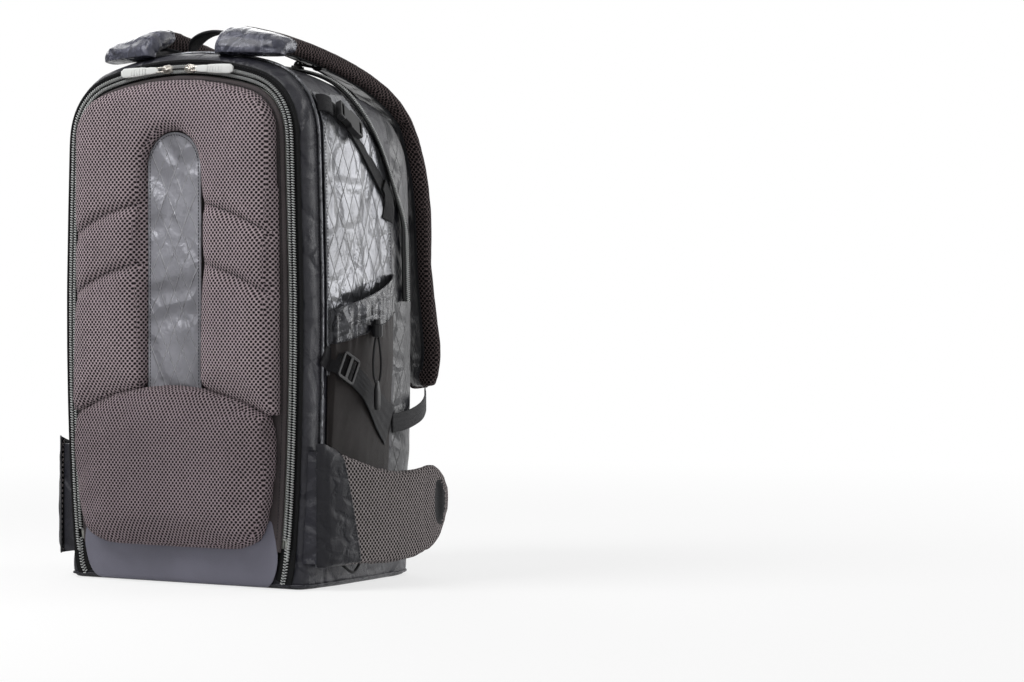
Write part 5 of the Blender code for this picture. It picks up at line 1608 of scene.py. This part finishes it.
class BAG_OT_bottle_pockets(Operator):
    """The stretch bottle pockets with their gathered laminated mouths"""

    bl_idname = "bag.bottle_pockets"
    bl_label = "Bottle pockets"

    def execute(self, context):
        for word, sign in SIDES:
            self.pocket(word, sign)
        return {"FINISHED"}

    def pocket(self, word, sign):
        """One pocket: its stretch cloth, the gathered cuff that turns in at the mouth, and the cuff's seam."""
        start, end = POCKET_D
        node = f"bottle_pocket_{word}"
        pocket, shell = surface_of(node), surface_of("main_shell")
        cols, rows = 90, 96
        u = np.linspace(0, 1, cols)
        v = np.concatenate([np.linspace(0, 0.845, 64), np.linspace(0.865, 1, 32)])
        depth = start - 0.004 + (end - start + 0.008) * u
        top = pocket_mouth(np.clip(depth, start, end)) - 0.0012
        grid = spots(sign * 0.25, ZIP_Y + depth, 0.0305 + (top - 0.0305) * v[:, None])
        over_pocket = laid_on(pocket, grid, (-sign, 0, 0), 0.0008, 0.13)
        over_shell = laid_on(shell, grid, (-sign, 0, 0), 0.0020, 0.13)
        x = abs(over_pocket[..., 0])
        grid[..., 0] = sign * np.maximum(np.where(x > 0.24, 0.0, x), abs(over_shell[..., 0]))
        fade = edge_fade(rows, cols, 0.08)
        folds = np.zeros((rows, cols))
        for i in range(rows):
            band = np.clip((v[i] - 0.80) / 0.06, 0, 1)
            for j in range(cols):
                q = Vector((u[j] * 9.0, v[i] * 2.2, sign * 3.0))
                gather = math.sin(u[j] * 62 + 2.4 * noise.noise(q)) * 0.5 + noise.noise(q * 1.9)
                slow = noise.noise(Vector((u[j] * 3.2, v[i] * 2.6, 5.0 * sign)))
                folds[i, j] = 0.0016 * band * gather + 0.0026 * (1 - band) * slow
        grid[..., 0] += sign * folds * fade
        cuff = int(np.argmax(v > 0.855))
        cloth(f"pocket_cloth_{word}", grid[:cuff + 2], "stretch", (sign, 0, 0), thick=0.0012, slot="stretch_cloth",
              stands_for=[node])
        band = grid[cuff:].copy()
        band[..., 0] += sign * 0.0013
        lip = band[-1] + (0, 0, 0.0016)
        inner = [lip + (-sign * k, 0, dz) for k, dz in
                 ((0, 0), (0.0012, 0.0003), (0.0026, -0.0012), (0.0032, -0.0060), (0.0033, -0.0150))]
        band = np.concatenate([band, inner])
        cloth(f"pocket_cuff_{word}", band, "cuff_film", (sign, 0, 0), thick=0.0010, rounded=True, slot="laminate")
        stitched(f"cuff_stitch_{word}", band[1, 2:-2] + (sign * 0.0005, 0, 0), (sign, 0, 0), slot="laminate")


# ---------------------------------------------------------------- laptop compartment and front pocket

def ribbon_line(node, centre, angles):
    """The outer middle line of a strip that runs round the bag, found at angles about a line along Y."""
    out = []
    centre = Vector(centre)
    for angle in angles:
        aim = Vector((math.sin(angle), 0, math.cos(angle)))
        bm = merged(node)
        cut = bmesh.ops.bisect_plane(bm, geom=bm.verts[:] + bm.edges[:] + bm.faces[:], plane_co=centre,
                                     plane_no=(aim.z, 0, -aim.x))["geom_cut"]
        hits = [v.co.copy() for v in cut if isinstance(v, bmesh.types.BMVert) and (v.co - centre).dot(aim) > 0]
        bm.free()
        if hits:
            far = max((h - centre).dot(aim) for h in hits)
            y = (min(h.y for h in hits) + max(h.y for h in hits)) / 2
            out.append(centre + aim * far + Vector((0, y - centre.y, 0)))
    return np.array(out)


def closed_over(rings, middle, shares, dome, power):
    """Rings of a cover, with more of them that close over the last one as a low dome."""
    last = rings[-1]
    for share in shares:
        ring = middle + (last - middle) * share
        ring[:, 1] = last[0, 1] + dome * (1 - share ** power)
        rings.append(ring)
    return np.array(rings)


def closed_zip(name, line, up, wide=0.0066, pitch=0.0021, **how):
    """Both rows of a zip's teeth, meshed together along a line."""
    count = int(along_of(line)[-1] / pitch)
    ups = evened(up, count, False)
    line = evened(line, count, False)
    t = travel(line)
    ups, w = square_to(t, ups)
    places = []
    for k in range(count):
        for way in (-1, 1):
            at = line[k] + t[k] * (pitch * 0.25 * way) + w[k] * (way * wide * 0.19)
            places.append(basis(at, Vector(t[k] + w[k] * 0.34 * way), ups[k]))
    # The teeth take the coil's light grey, a painted highlight for their glints.
    return repeated(name, small_block((0.00115, wide * 0.40, 0.0018), 0.0004), places, "zip_coil",
                    slot="zip_coil", **how)


class BAG_OT_laptop_compartment(Operator):
    """The laptop compartment behind the camera bay, with its zip, its slider and the organiser pocket"""

    bl_idname = "bag.laptop_compartment"
    bl_label = "Laptop compartment"

    def execute(self, context):
        depths = (0.1658, 0.1680, 0.1740, 0.1840, 0.1950, 0.2040, 0.2120, 0.2200, 0.2270, 0.2315, 0.2340, 0.2352)
        rings = [section("laptop_compartment", d) for d in depths]
        middle = np.array([0, rings[-1][0, 1], 0.27])
        rows = closed_over(rings, middle, (0.92, 0.78, 0.6, 0.4, 0.2, 0.0), 0.0016, 3)
        rows = rumpled(rows, 0.0014, 22.0, 11.0, np.clip(np.arange(len(rows)) / 2, 0, 1)[:, None])
        cloth("laptop_cover", rows, "dark_laminate", "out", closed=True, rounded=True, slot="laminate",
              stands_for=["laptop_compartment"])
        self.zip()
        self.pocket()
        kept("laptop_zip_slider", "black_plastic", 0.0005)
        low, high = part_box("laptop_zip_slider")
        at = Vector(((low.x + high.x) / 2 + 0.012, (low.y + high.y) / 2, high.z - 0.0055))
        a = np.linspace(0, 2 * math.pi, 40, endpoint=False)
        ring = np.array(at) + spots(0.0058 * np.cos(a), 0.0012 * np.sin(3 * a), 0.0052 * np.sin(a))
        new_piece("laptop_pull_loop", swept_mesh(ring, oval(0.0022, 0.0022, 8), (0, 1, 0), closed=True),
                  "braid", body="laptop_slider", slot="webbing")
        return {"FINISHED"}

    def zip(self):
        """The compartment's zip: its tape and its closed teeth."""
        line = relaxed(ribbon_line("laptop_zip", (0, ZIP_Y + 0.15, 0.25), np.radians(np.linspace(-89, 89, 120))), 4,
                       False)
        up = evened(unit((line - (0, 0, 0.25)) * (1, 0, 1)), len(line), False)
        shape = oval(0.0150, 0.0022, 18, 0.4) - (0, 0.0010)
        new_piece("laptop_zip_tape", swept_mesh(line, shape, up), "zip_tape", slot="zip_coil",
                  stands_for=["laptop_zip"])
        closed_zip("laptop_zip_teeth", line + up * 0.0006, up)

    def pocket(self):
        """The cover of the flat pocket on the outside of the compartment."""
        rings = []
        for depth, inset in ((0.2359, 0.0), (0.2385, -0.0004), (0.2415, 0.0014), (0.2440, 0.0050), (0.2458, 0.0105),
                             (0.2468, 0.0180)):
            ring = relaxed(evened(slices("front_pocket", min(depth, 0.2405))[0], 160), 3)
            rings.append(moved_out(spots(ring[:, 0], ZIP_Y + depth, ring[:, 1]), -inset))
        rows = closed_over(rings, rings[-1].mean(0), (0.8, 0.55, 0.3, 0.0), 0.0012, 2)
        rows = rumpled(rows, 0.0010, 30.0, 13.0, np.clip(np.arange(len(rows)) / 3, 0, 1)[:, None])
        rows[..., 1] = np.minimum(rows[..., 1], ZIP_Y + 0.2495)
        cloth("pocket_cover", rows, "laminate", (0, 1, 0), closed=True, rounded=True, slot="laminate",
              stands_for=["front_pocket"])


# ---------------------------------------------------------------- inside

def felted(name, node, finishes, pick, voxel=0.0023):
    """A foam board in its cloth: a copy of the frame piece with soft edges, its faces shared among its finishes."""
    piece = remeshed(name, merged(node), voxel, finishes, 5)
    co = points_of(piece.data)
    wave = np.array([noise.noise(Vector(q) * 38.0) + 0.5 * noise.noise(Vector(q) * 95.0) for q in co])
    away = np.zeros(len(co) * 3)
    piece.data.vertex_normals.foreach_get("vector", away)
    co += away.reshape(-1, 3) * (wave * 0.0006 + 0.0003)[:, None]
    piece.data.vertices.foreach_set("co", co.ravel())
    for face in piece.data.polygons:
        face.material_index = pick(face.center, face.normal)
    piece.data.update()
    as_padding(piece, "bag", node)


class BAG_OT_linings(Operator):
    """The camera bay's lining: its ribbed walls, the padded rim, and the back wall with its sewn patches"""

    bl_idname = "bag.linings"
    bl_label = "Linings"

    def execute(self, context):
        self.walls()
        self.rim()
        self.back_wall()
        return {"FINISHED"}

    def walls(self):
        """The ribbed cloth round the inside of the shell."""
        depths = (0.0290, 0.0340, 0.0420, 0.0540, 0.0680, 0.0840, 0.1000, 0.1160, 0.1300, 0.1400, 0.1448)
        rows = np.array([moved_out(section("main_shell", d, which=1), -0.0006) for d in depths])
        fade = np.clip(np.minimum(np.arange(len(depths)), np.arange(len(depths))[::-1]) / 3, 0, 1)
        rows = rumpled(rows, 0.0014, 26.0, 15.0, fade[:, None])
        cloth("bay_lining", rows, "lining_dark", "in", closed=True, thick=0.0008, slot="dark_lining")

    def rim(self):
        """The padded rim of the opening, with its seam."""
        shape = [(0.0008, 0.0010), (-0.0012, 0.0006), (-0.0040, 0.0002), (-0.0068, 0.0004), (-0.0088, 0.0016),
                 (-0.0100, 0.0040), (-0.0104, 0.0090), (-0.0102, 0.0200), (-0.0094, 0.0275), (-0.0070, 0.0300),
                 (-0.0030, 0.0306), (0.0004, 0.0306)]
        rows = []
        for out, depth in shape:
            ring = moved_out(ZIP_LINE, out)
            ring[:, 1] = ZIP_Y + depth
            rows.append(ring)
        fade = np.array([0, 0.4, 1, 1, 1, 1, 1, 1, 1, 0.6, 0.2, 0])[:, None]
        rows = rumpled(rows, 0.0007, 70.0, 17.0, fade)
        cloth("rim_padding", rows, "lining_light", "in", closed=True, rounded=True, slot="light_lining",
              stands_for=["rim_lining"])
        line = moved_out(ZIP_LINE, -0.0042)
        line[:, 1] = ZIP_Y + 0.0001
        stitched("rim_stitch", np.vstack([line, line[:1]]), (0, -1, 0), slot="light_lining")

    def back_wall(self):
        """The liner of the back wall: ribbed cloth with two long patches and a short one sewn on it."""
        ring = evened(slices("back_wall_liner", 0.1460)[0], RING)
        ring = spots(ring[:, 0], ZIP_Y + 0.1460, ring[:, 1])
        middle = np.array([0.0, ZIP_Y + 0.1460, 0.26])
        rows = [middle + (ring - middle) * share
                for share in (1.015, 1.0, 0.985, 0.95, 0.86, 0.74, 0.6, 0.45, 0.3, 0.15, 0.0)]
        piece = cloth("back_lining", rumpled(rows, 0.0010, 20.0, 19.0), "lining_pale", (0, -1, 0), closed=True,
                      thick=0.0008, slot="light_lining", stands_for=["back_wall_liner"])
        tree = surface_of(piece)
        for name, left, right, low, high in (("long", 0.036, 0.056, 0.150, 0.345), ("low", 0.040, 0.068, 0.128, 0.143),
                                             ("left", -0.074, -0.058, 0.060, 0.400)):
            x, z = np.linspace(left, right, 14), np.linspace(low, high, 44)
            grid = laid_on(tree, spots(x, ZIP_Y + 0.10, z[:, None]), (0, 1, 0), 0.0012, 0.09)
            cloth(f"wall_patch_{name}", grid, "lining_pale", (0, -1, 0), thick=0.0009, slot="light_lining")
            edge = np.vstack([grid[1:-1, 1], grid[-2, 1:-1], grid[1:-1, -2][::-1], grid[1, 1:-1][::-1]])
            stitched(f"wall_stitch_{name}", edge - (0, 0.0003, 0), (0, -1, 0), slot="light_lining")


SHELVES = {"divider_left_1": 0.0, "divider_left_2": 0.030, "divider_left_3": 0.030, "divider_left_4": 0.030,
           "divider_centre_1": 0.028, "divider_centre_2": 0.028, "shelf_centre": 0.0,
           "divider_right_1": 0.026, "divider_right_2": 0.026, "divider_right_3": 0.026}


class BAG_OT_dividers(Operator):
    """The padded dividers with their hook flaps, the hood over the camera, and the rain cover in its pouch"""

    bl_idname = "bag.dividers"
    bl_label = "Dividers"

    def execute(self, context):
        for node in SHELVES:
            self.shelf(node)
        for node in ("divider_long_left", "divider_long_right"):
            felted(node.replace("divider", "board"), node, ("lining_light", "lining_dark"),
                   lambda at, n: int(abs(n.x) > 0.6 and at.y > ZIP_Y + 0.0335))
        felted("curved_board", "divider_curved", ("lining_light", "lining_dark"),
               lambda at, n: int(n.y > -0.5 and at.y > ZIP_Y + 0.040), 0.0018)
        felted("camera_hood", "divider_hood", ("hood_cloth", "lining_light"),
               lambda at, n: int(at.x < -0.0375 or at.z < 0.4045))
        self.pouch()
        return {"FINISHED"}

    def shelf(self, node):
        """A cross divider: pale above and along its front, darker under, with a woven hook flap at the back."""
        low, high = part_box(node)
        flap_front = high.y - 0.0052
        flap = SHELVES[node]

        def pick(at, normal):
            """Which of the three cloths a face takes."""
            if flap and at.y > flap_front and at.z > high.z - flap + 0.0075:
                return 1
            return 2 if normal.z < -0.5 and at.y > low.y + 0.004 else 0

        name = node.replace("divider", "shelf") if node.startswith("divider") else "shelf_of_centre"
        felted(name, node, ("lining_light", "hook_cloth", "lining_dark"), pick)
        if node == "divider_right_1":
            at = Vector(((low.x + high.x) / 2, low.y - 0.02, high.z - 0.005))
            front = surface_of(node).ray_cast(at, Vector((0, 1, 0)))[0].y - 0.0013
            strap_piece("shelf_tab", np.array([(at.x, front, high.z + dz) for dz in (0.0, -0.004, -0.008, -0.012)]),
                        (0, -1, 0), 0.009, "blue_tape", 0.0008, "light_lining")
        if not flap:
            return
        x = np.linspace(low.x + 0.006, high.x - 0.006, 40)
        tree = surface_of(node)
        for way, z in (("top", high.z - 0.0042), ("foot", high.z - flap + 0.0120)):
            seam = laid_on(tree, spots(x, low.y + 0.02, z), (0, 1, 0), 0.0009, 0.16)
            if len(seam) > 4:
                stitched(f"flap_stitch_{way}_{node}", seam, (0, -1, 0), slot="dark_lining")

    def pouch(self):
        """The stuff sack that holds the rain cover, crumpled, with its neck drawn in."""
        piece = remeshed("rain_pouch", merged("rain_cover_pouch"), 0.0024, ["pouch_cloth"], 8)
        co = points_of(piece.data)
        middle = co.mean(0)
        push = np.array([noise.ridged_multi_fractal(Vector(q) * 42.0, 0.9, 2.1, 4, 0.9, 1.6) - 1.1 for q in co])
        rise = (co[:, 2] - co[:, 2].min()) / np.ptp(co[:, 2])
        fold = 0.35 + 0.9 * np.clip((rise - 0.6) / 0.4, 0, 1)
        aim = unit((co - middle) * (1, 1, 0.2))
        co += aim * (push * 0.0034 * fold)[:, None]
        moved_to(piece.data, co)
        as_padding(piece, "bag", "rain_cover_pouch")


class BAG_OT_lid_inside(Operator):
    """The lid's pale liner with its bound edge, the mesh pocket, the elastic over it and its lock"""

    bl_idname = "bag.lid_inside"
    bl_label = "Inside of the lid"

    def execute(self, context):
        self.liner()
        self.pocket()
        self.elastic()
        kept("lid_frame_sheet", "frame_board", 0.0)
        return {"FINISHED"}

    def liner(self):
        """The lid's pale lining, bound at its edge, with two seams."""
        low_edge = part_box("lid_liner")[0].z
        rows = lid_rings(ZIP_LINE, low_edge, 1.0,
                         ((0.0082, -0.0016), (0.0078, -0.0006), (0.0084, 0.0002), (0.0118, 0.0010), (0.0178, 0.0012),
                          (0.0208, 0.0006), (0.0233, 0.0002), (0.0318, 0.0006), (0.0518, 0.0008)),
                         (0.8, 0.55, 0.3, 0.0))
        fade = np.array([0, 0, 0.3, 0.6, 0.5, 0.1, 0.0, 0.5, 1, 1, 1, 1, 0.6])[:, None]
        rows = rumpled(rows, 0.0005, 30.0, 23.0, fade)
        cloth("lid_lining", rows, "lining_smooth", (0, 1, 0), closed=True, rounded=True, body="lid",
              slot="light_lining", stands_for=["lid_liner"])
        for name, inset, lift in (("outer", 0.0120, 0.0014), ("inner", 0.0208, 0.0006)):
            line = moved_out(ZIP_LINE, -ZIP_INSET - inset)
            line = np.array([q for q in line if q[2] > low_edge + inset])
            line = line[np.argsort(np.arctan2(line[:, 0], -(line[:, 2] - 0.27)))]
            line[:, 1] = ZIP_Y + lift
            stitched(f"liner_stitch_{name}", line, (0, 1, 0), body="lid", slot="light_lining")

    def pocket(self):
        """The pocket's net, the tapes that bind it, and the tab at each end of its mouth."""
        low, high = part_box("lid_mesh_pocket")
        edge = sorted((q[1], q[0]) for q in slices("lid_mesh_pocket", 0.003)[0] if q[0] > 0)
        z = np.linspace(low.z + 0.001, high.z - 0.001, 90)
        half = np.maximum(np.interp(z, *zip(*edge)), 0.02)
        x = np.linspace(-1, 1, 80)
        grid = spots(x * half[:, None], 0.0, z[:, None])
        dip = edge_fade(90, 80, 0.10)
        sag = np.array([[noise.noise(Vector((q[0] * 14, q[2] * 14, 2.0))) for q in row] for row in grid])
        grid[..., 1] = ZIP_Y + 0.0018 + dip * (0.0016 + 0.0009 * sag)
        piece = cloth("lid_pocket_mesh", grid, "pocket_mesh", (0, 1, 0), thick=0.0006, body="lid",
                      slot="light_lining", stands_for=["lid_mesh_pocket"])
        mouth = spots(x * half[-1], ZIP_Y + 0.0028, z[-1])
        side = spots(half, ZIP_Y + 0.0022, z)
        foot = spots(x * half[0], ZIP_Y + 0.0022, z[0])
        for name, line in (("mouth", mouth), ("right", side), ("left", side * (-1, 1, 1)), ("foot", foot)):
            finish, wide = ("green_tape", 0.0085) if name == "mouth" else ("lining_smooth", 0.0075)
            tape = swept_mesh(line, oval(wide, 0.0022, 14, 0.4) + (0, 0.0004), (0, 1, 0))
            new_piece(f"pocket_binding_{name}", tape, finish, body="lid", slot="light_lining")
        stitched("pocket_stitch", mouth + (0, 0.0015, 0.0015), (0, 1, 0), body="lid", slot="light_lining")
        for word, sign in SIDES:
            corner = [(half[-1] * sign, z[-1] + 0.010), (half[-1] * sign, z[-1] - 0.016),
                      ((half[-1] - 0.026) * sign, z[-1] + 0.002)]
            bm = bmesh.new()
            verts = [bm.verts.new((px, ZIP_Y + 0.0040, pz)) for px, pz in corner]
            face = bm.faces.new(verts)
            thick = bmesh.ops.extrude_face_region(bm, geom=[face])
            bmesh.ops.translate(bm, vec=(0, 0.0011, 0),
                                verts=[v for v in thick["geom"] if isinstance(v, bmesh.types.BMVert)])
            bmesh.ops.recalc_face_normals(bm, faces=bm.faces[:])
            new_piece(f"pocket_tab_{word}", bm, "webbing_plain", body="lid", slot="webbing", smooth=False)

    def elastic(self):
        """The elastic cord across the lid's head, held by a loop at each end, with its lock and knot."""
        path = curved([(x, ZIP_Y + 0.0030, z) for x, z in BUNGEE], 120)
        elastic = cord_piece("lid_elastic", path, 0.0030, "braid", body="lid", slot="webbing",
                             stands_for=["lid_bungee"])
        start, ahead = Vector(path[96]), Vector(travel(path)[96])
        profile = [(0.0, -0.0090), (0.0036, -0.0088), (0.0044, -0.0070), (0.0046, 0.0010), (0.0042, 0.0030),
                   (0.0030, 0.0036), (0.0034, 0.0060), (0.0030, 0.0084), (0.0, 0.0088)]
        bm = bmesh.new()
        verts = [bm.verts.new((r, 0, z)) for r, z in profile]
        edges = [bm.edges.new(pair) for pair in zip(verts, verts[1:])]
        bmesh.ops.spin(bm, geom=verts + edges, cent=(0, 0, 0), axis=(0, 0, 1), angle=2 * math.pi, steps=18,
                       use_merge=True)
        bmesh.ops.remove_doubles(bm, verts=bm.verts, dist=1e-6)
        turn = ahead.to_track_quat("Z", "Y").to_matrix().to_4x4()
        bmesh.ops.transform(bm, matrix=Matrix.Translation(start + Vector((0, 0.0032, 0))) @ turn, verts=bm.verts)
        bmesh.ops.recalc_face_normals(bm, faces=bm.faces[:])
        lock = new_piece("elastic_lock", bm, "black_plastic", body="lid", slot="black_plastic")
        tuple(path[0])
        float(along_of(path)[-1])
        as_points(path)
        for word, end, sign in (("left", path[0], -1), ("right", path[-1], 1)):
            loop = [(end[0] + sign * out, ZIP_Y + y, end[2] + z) for out, y, z in
                    ((0.016, 0.0016, -0.002), (0.006, 0.0028, 0), (-0.001, 0.0050, 0.0005))]
            strap_piece(f"elastic_loop_{word}", curved(loop, 16), (0, 1, 0), 0.010, thick=0.0012, body="lid")


# ---------------------------------------------------------------- the add-on

class BAG_PT_tools(Panel):
    """The bag's pieces, in the order that they are made"""

    bl_idname = "BAG_PT_tools"
    bl_label = "Camera backpack"
    bl_space_type = "VIEW_3D"
    bl_region_type = "UI"
    bl_category = "Bag"

    def draw(self, context):
        for name in BagSettings.__annotations__:
            self.layout.prop(context.scene.camera_bag, name)
        for operator in OPERATORS:
            self.layout.operator(operator.bl_idname)


OPERATORS = (BAG_OT_stage, BAG_OT_drawcords, BAG_OT_lid_pads, BAG_OT_lid_face, BAG_OT_main_zip, BAG_OT_shell,
             BAG_OT_lower_band, BAG_OT_side_panels, BAG_OT_laptop_compartment, BAG_OT_bottle_pockets,
             BAG_OT_webbing, BAG_OT_shoulder_straps, BAG_OT_handle, BAG_OT_hip_wings, BAG_OT_linings,
             BAG_OT_dividers, BAG_OT_lid_inside)


def register():
    """Add the classes and the settings."""
    for item in (BagSettings, *OPERATORS, BAG_PT_tools):
        bpy.utils.register_class(item)
    bpy.types.Scene.camera_bag = PointerProperty(type=BagSettings)


def unregister():
    """Take the settings and the classes away."""
    del bpy.types.Scene.camera_bag
    for item in reversed((BagSettings, *OPERATORS, BAG_PT_tools)):
        bpy.utils.unregister_class(item)


def main():
    """Make every piece."""
    register()
    for operator in OPERATORS:
        group, name = operator.bl_idname.split(".")
        getattr(getattr(bpy.ops, group), name)()


if __name__ == "__main__":
    main()
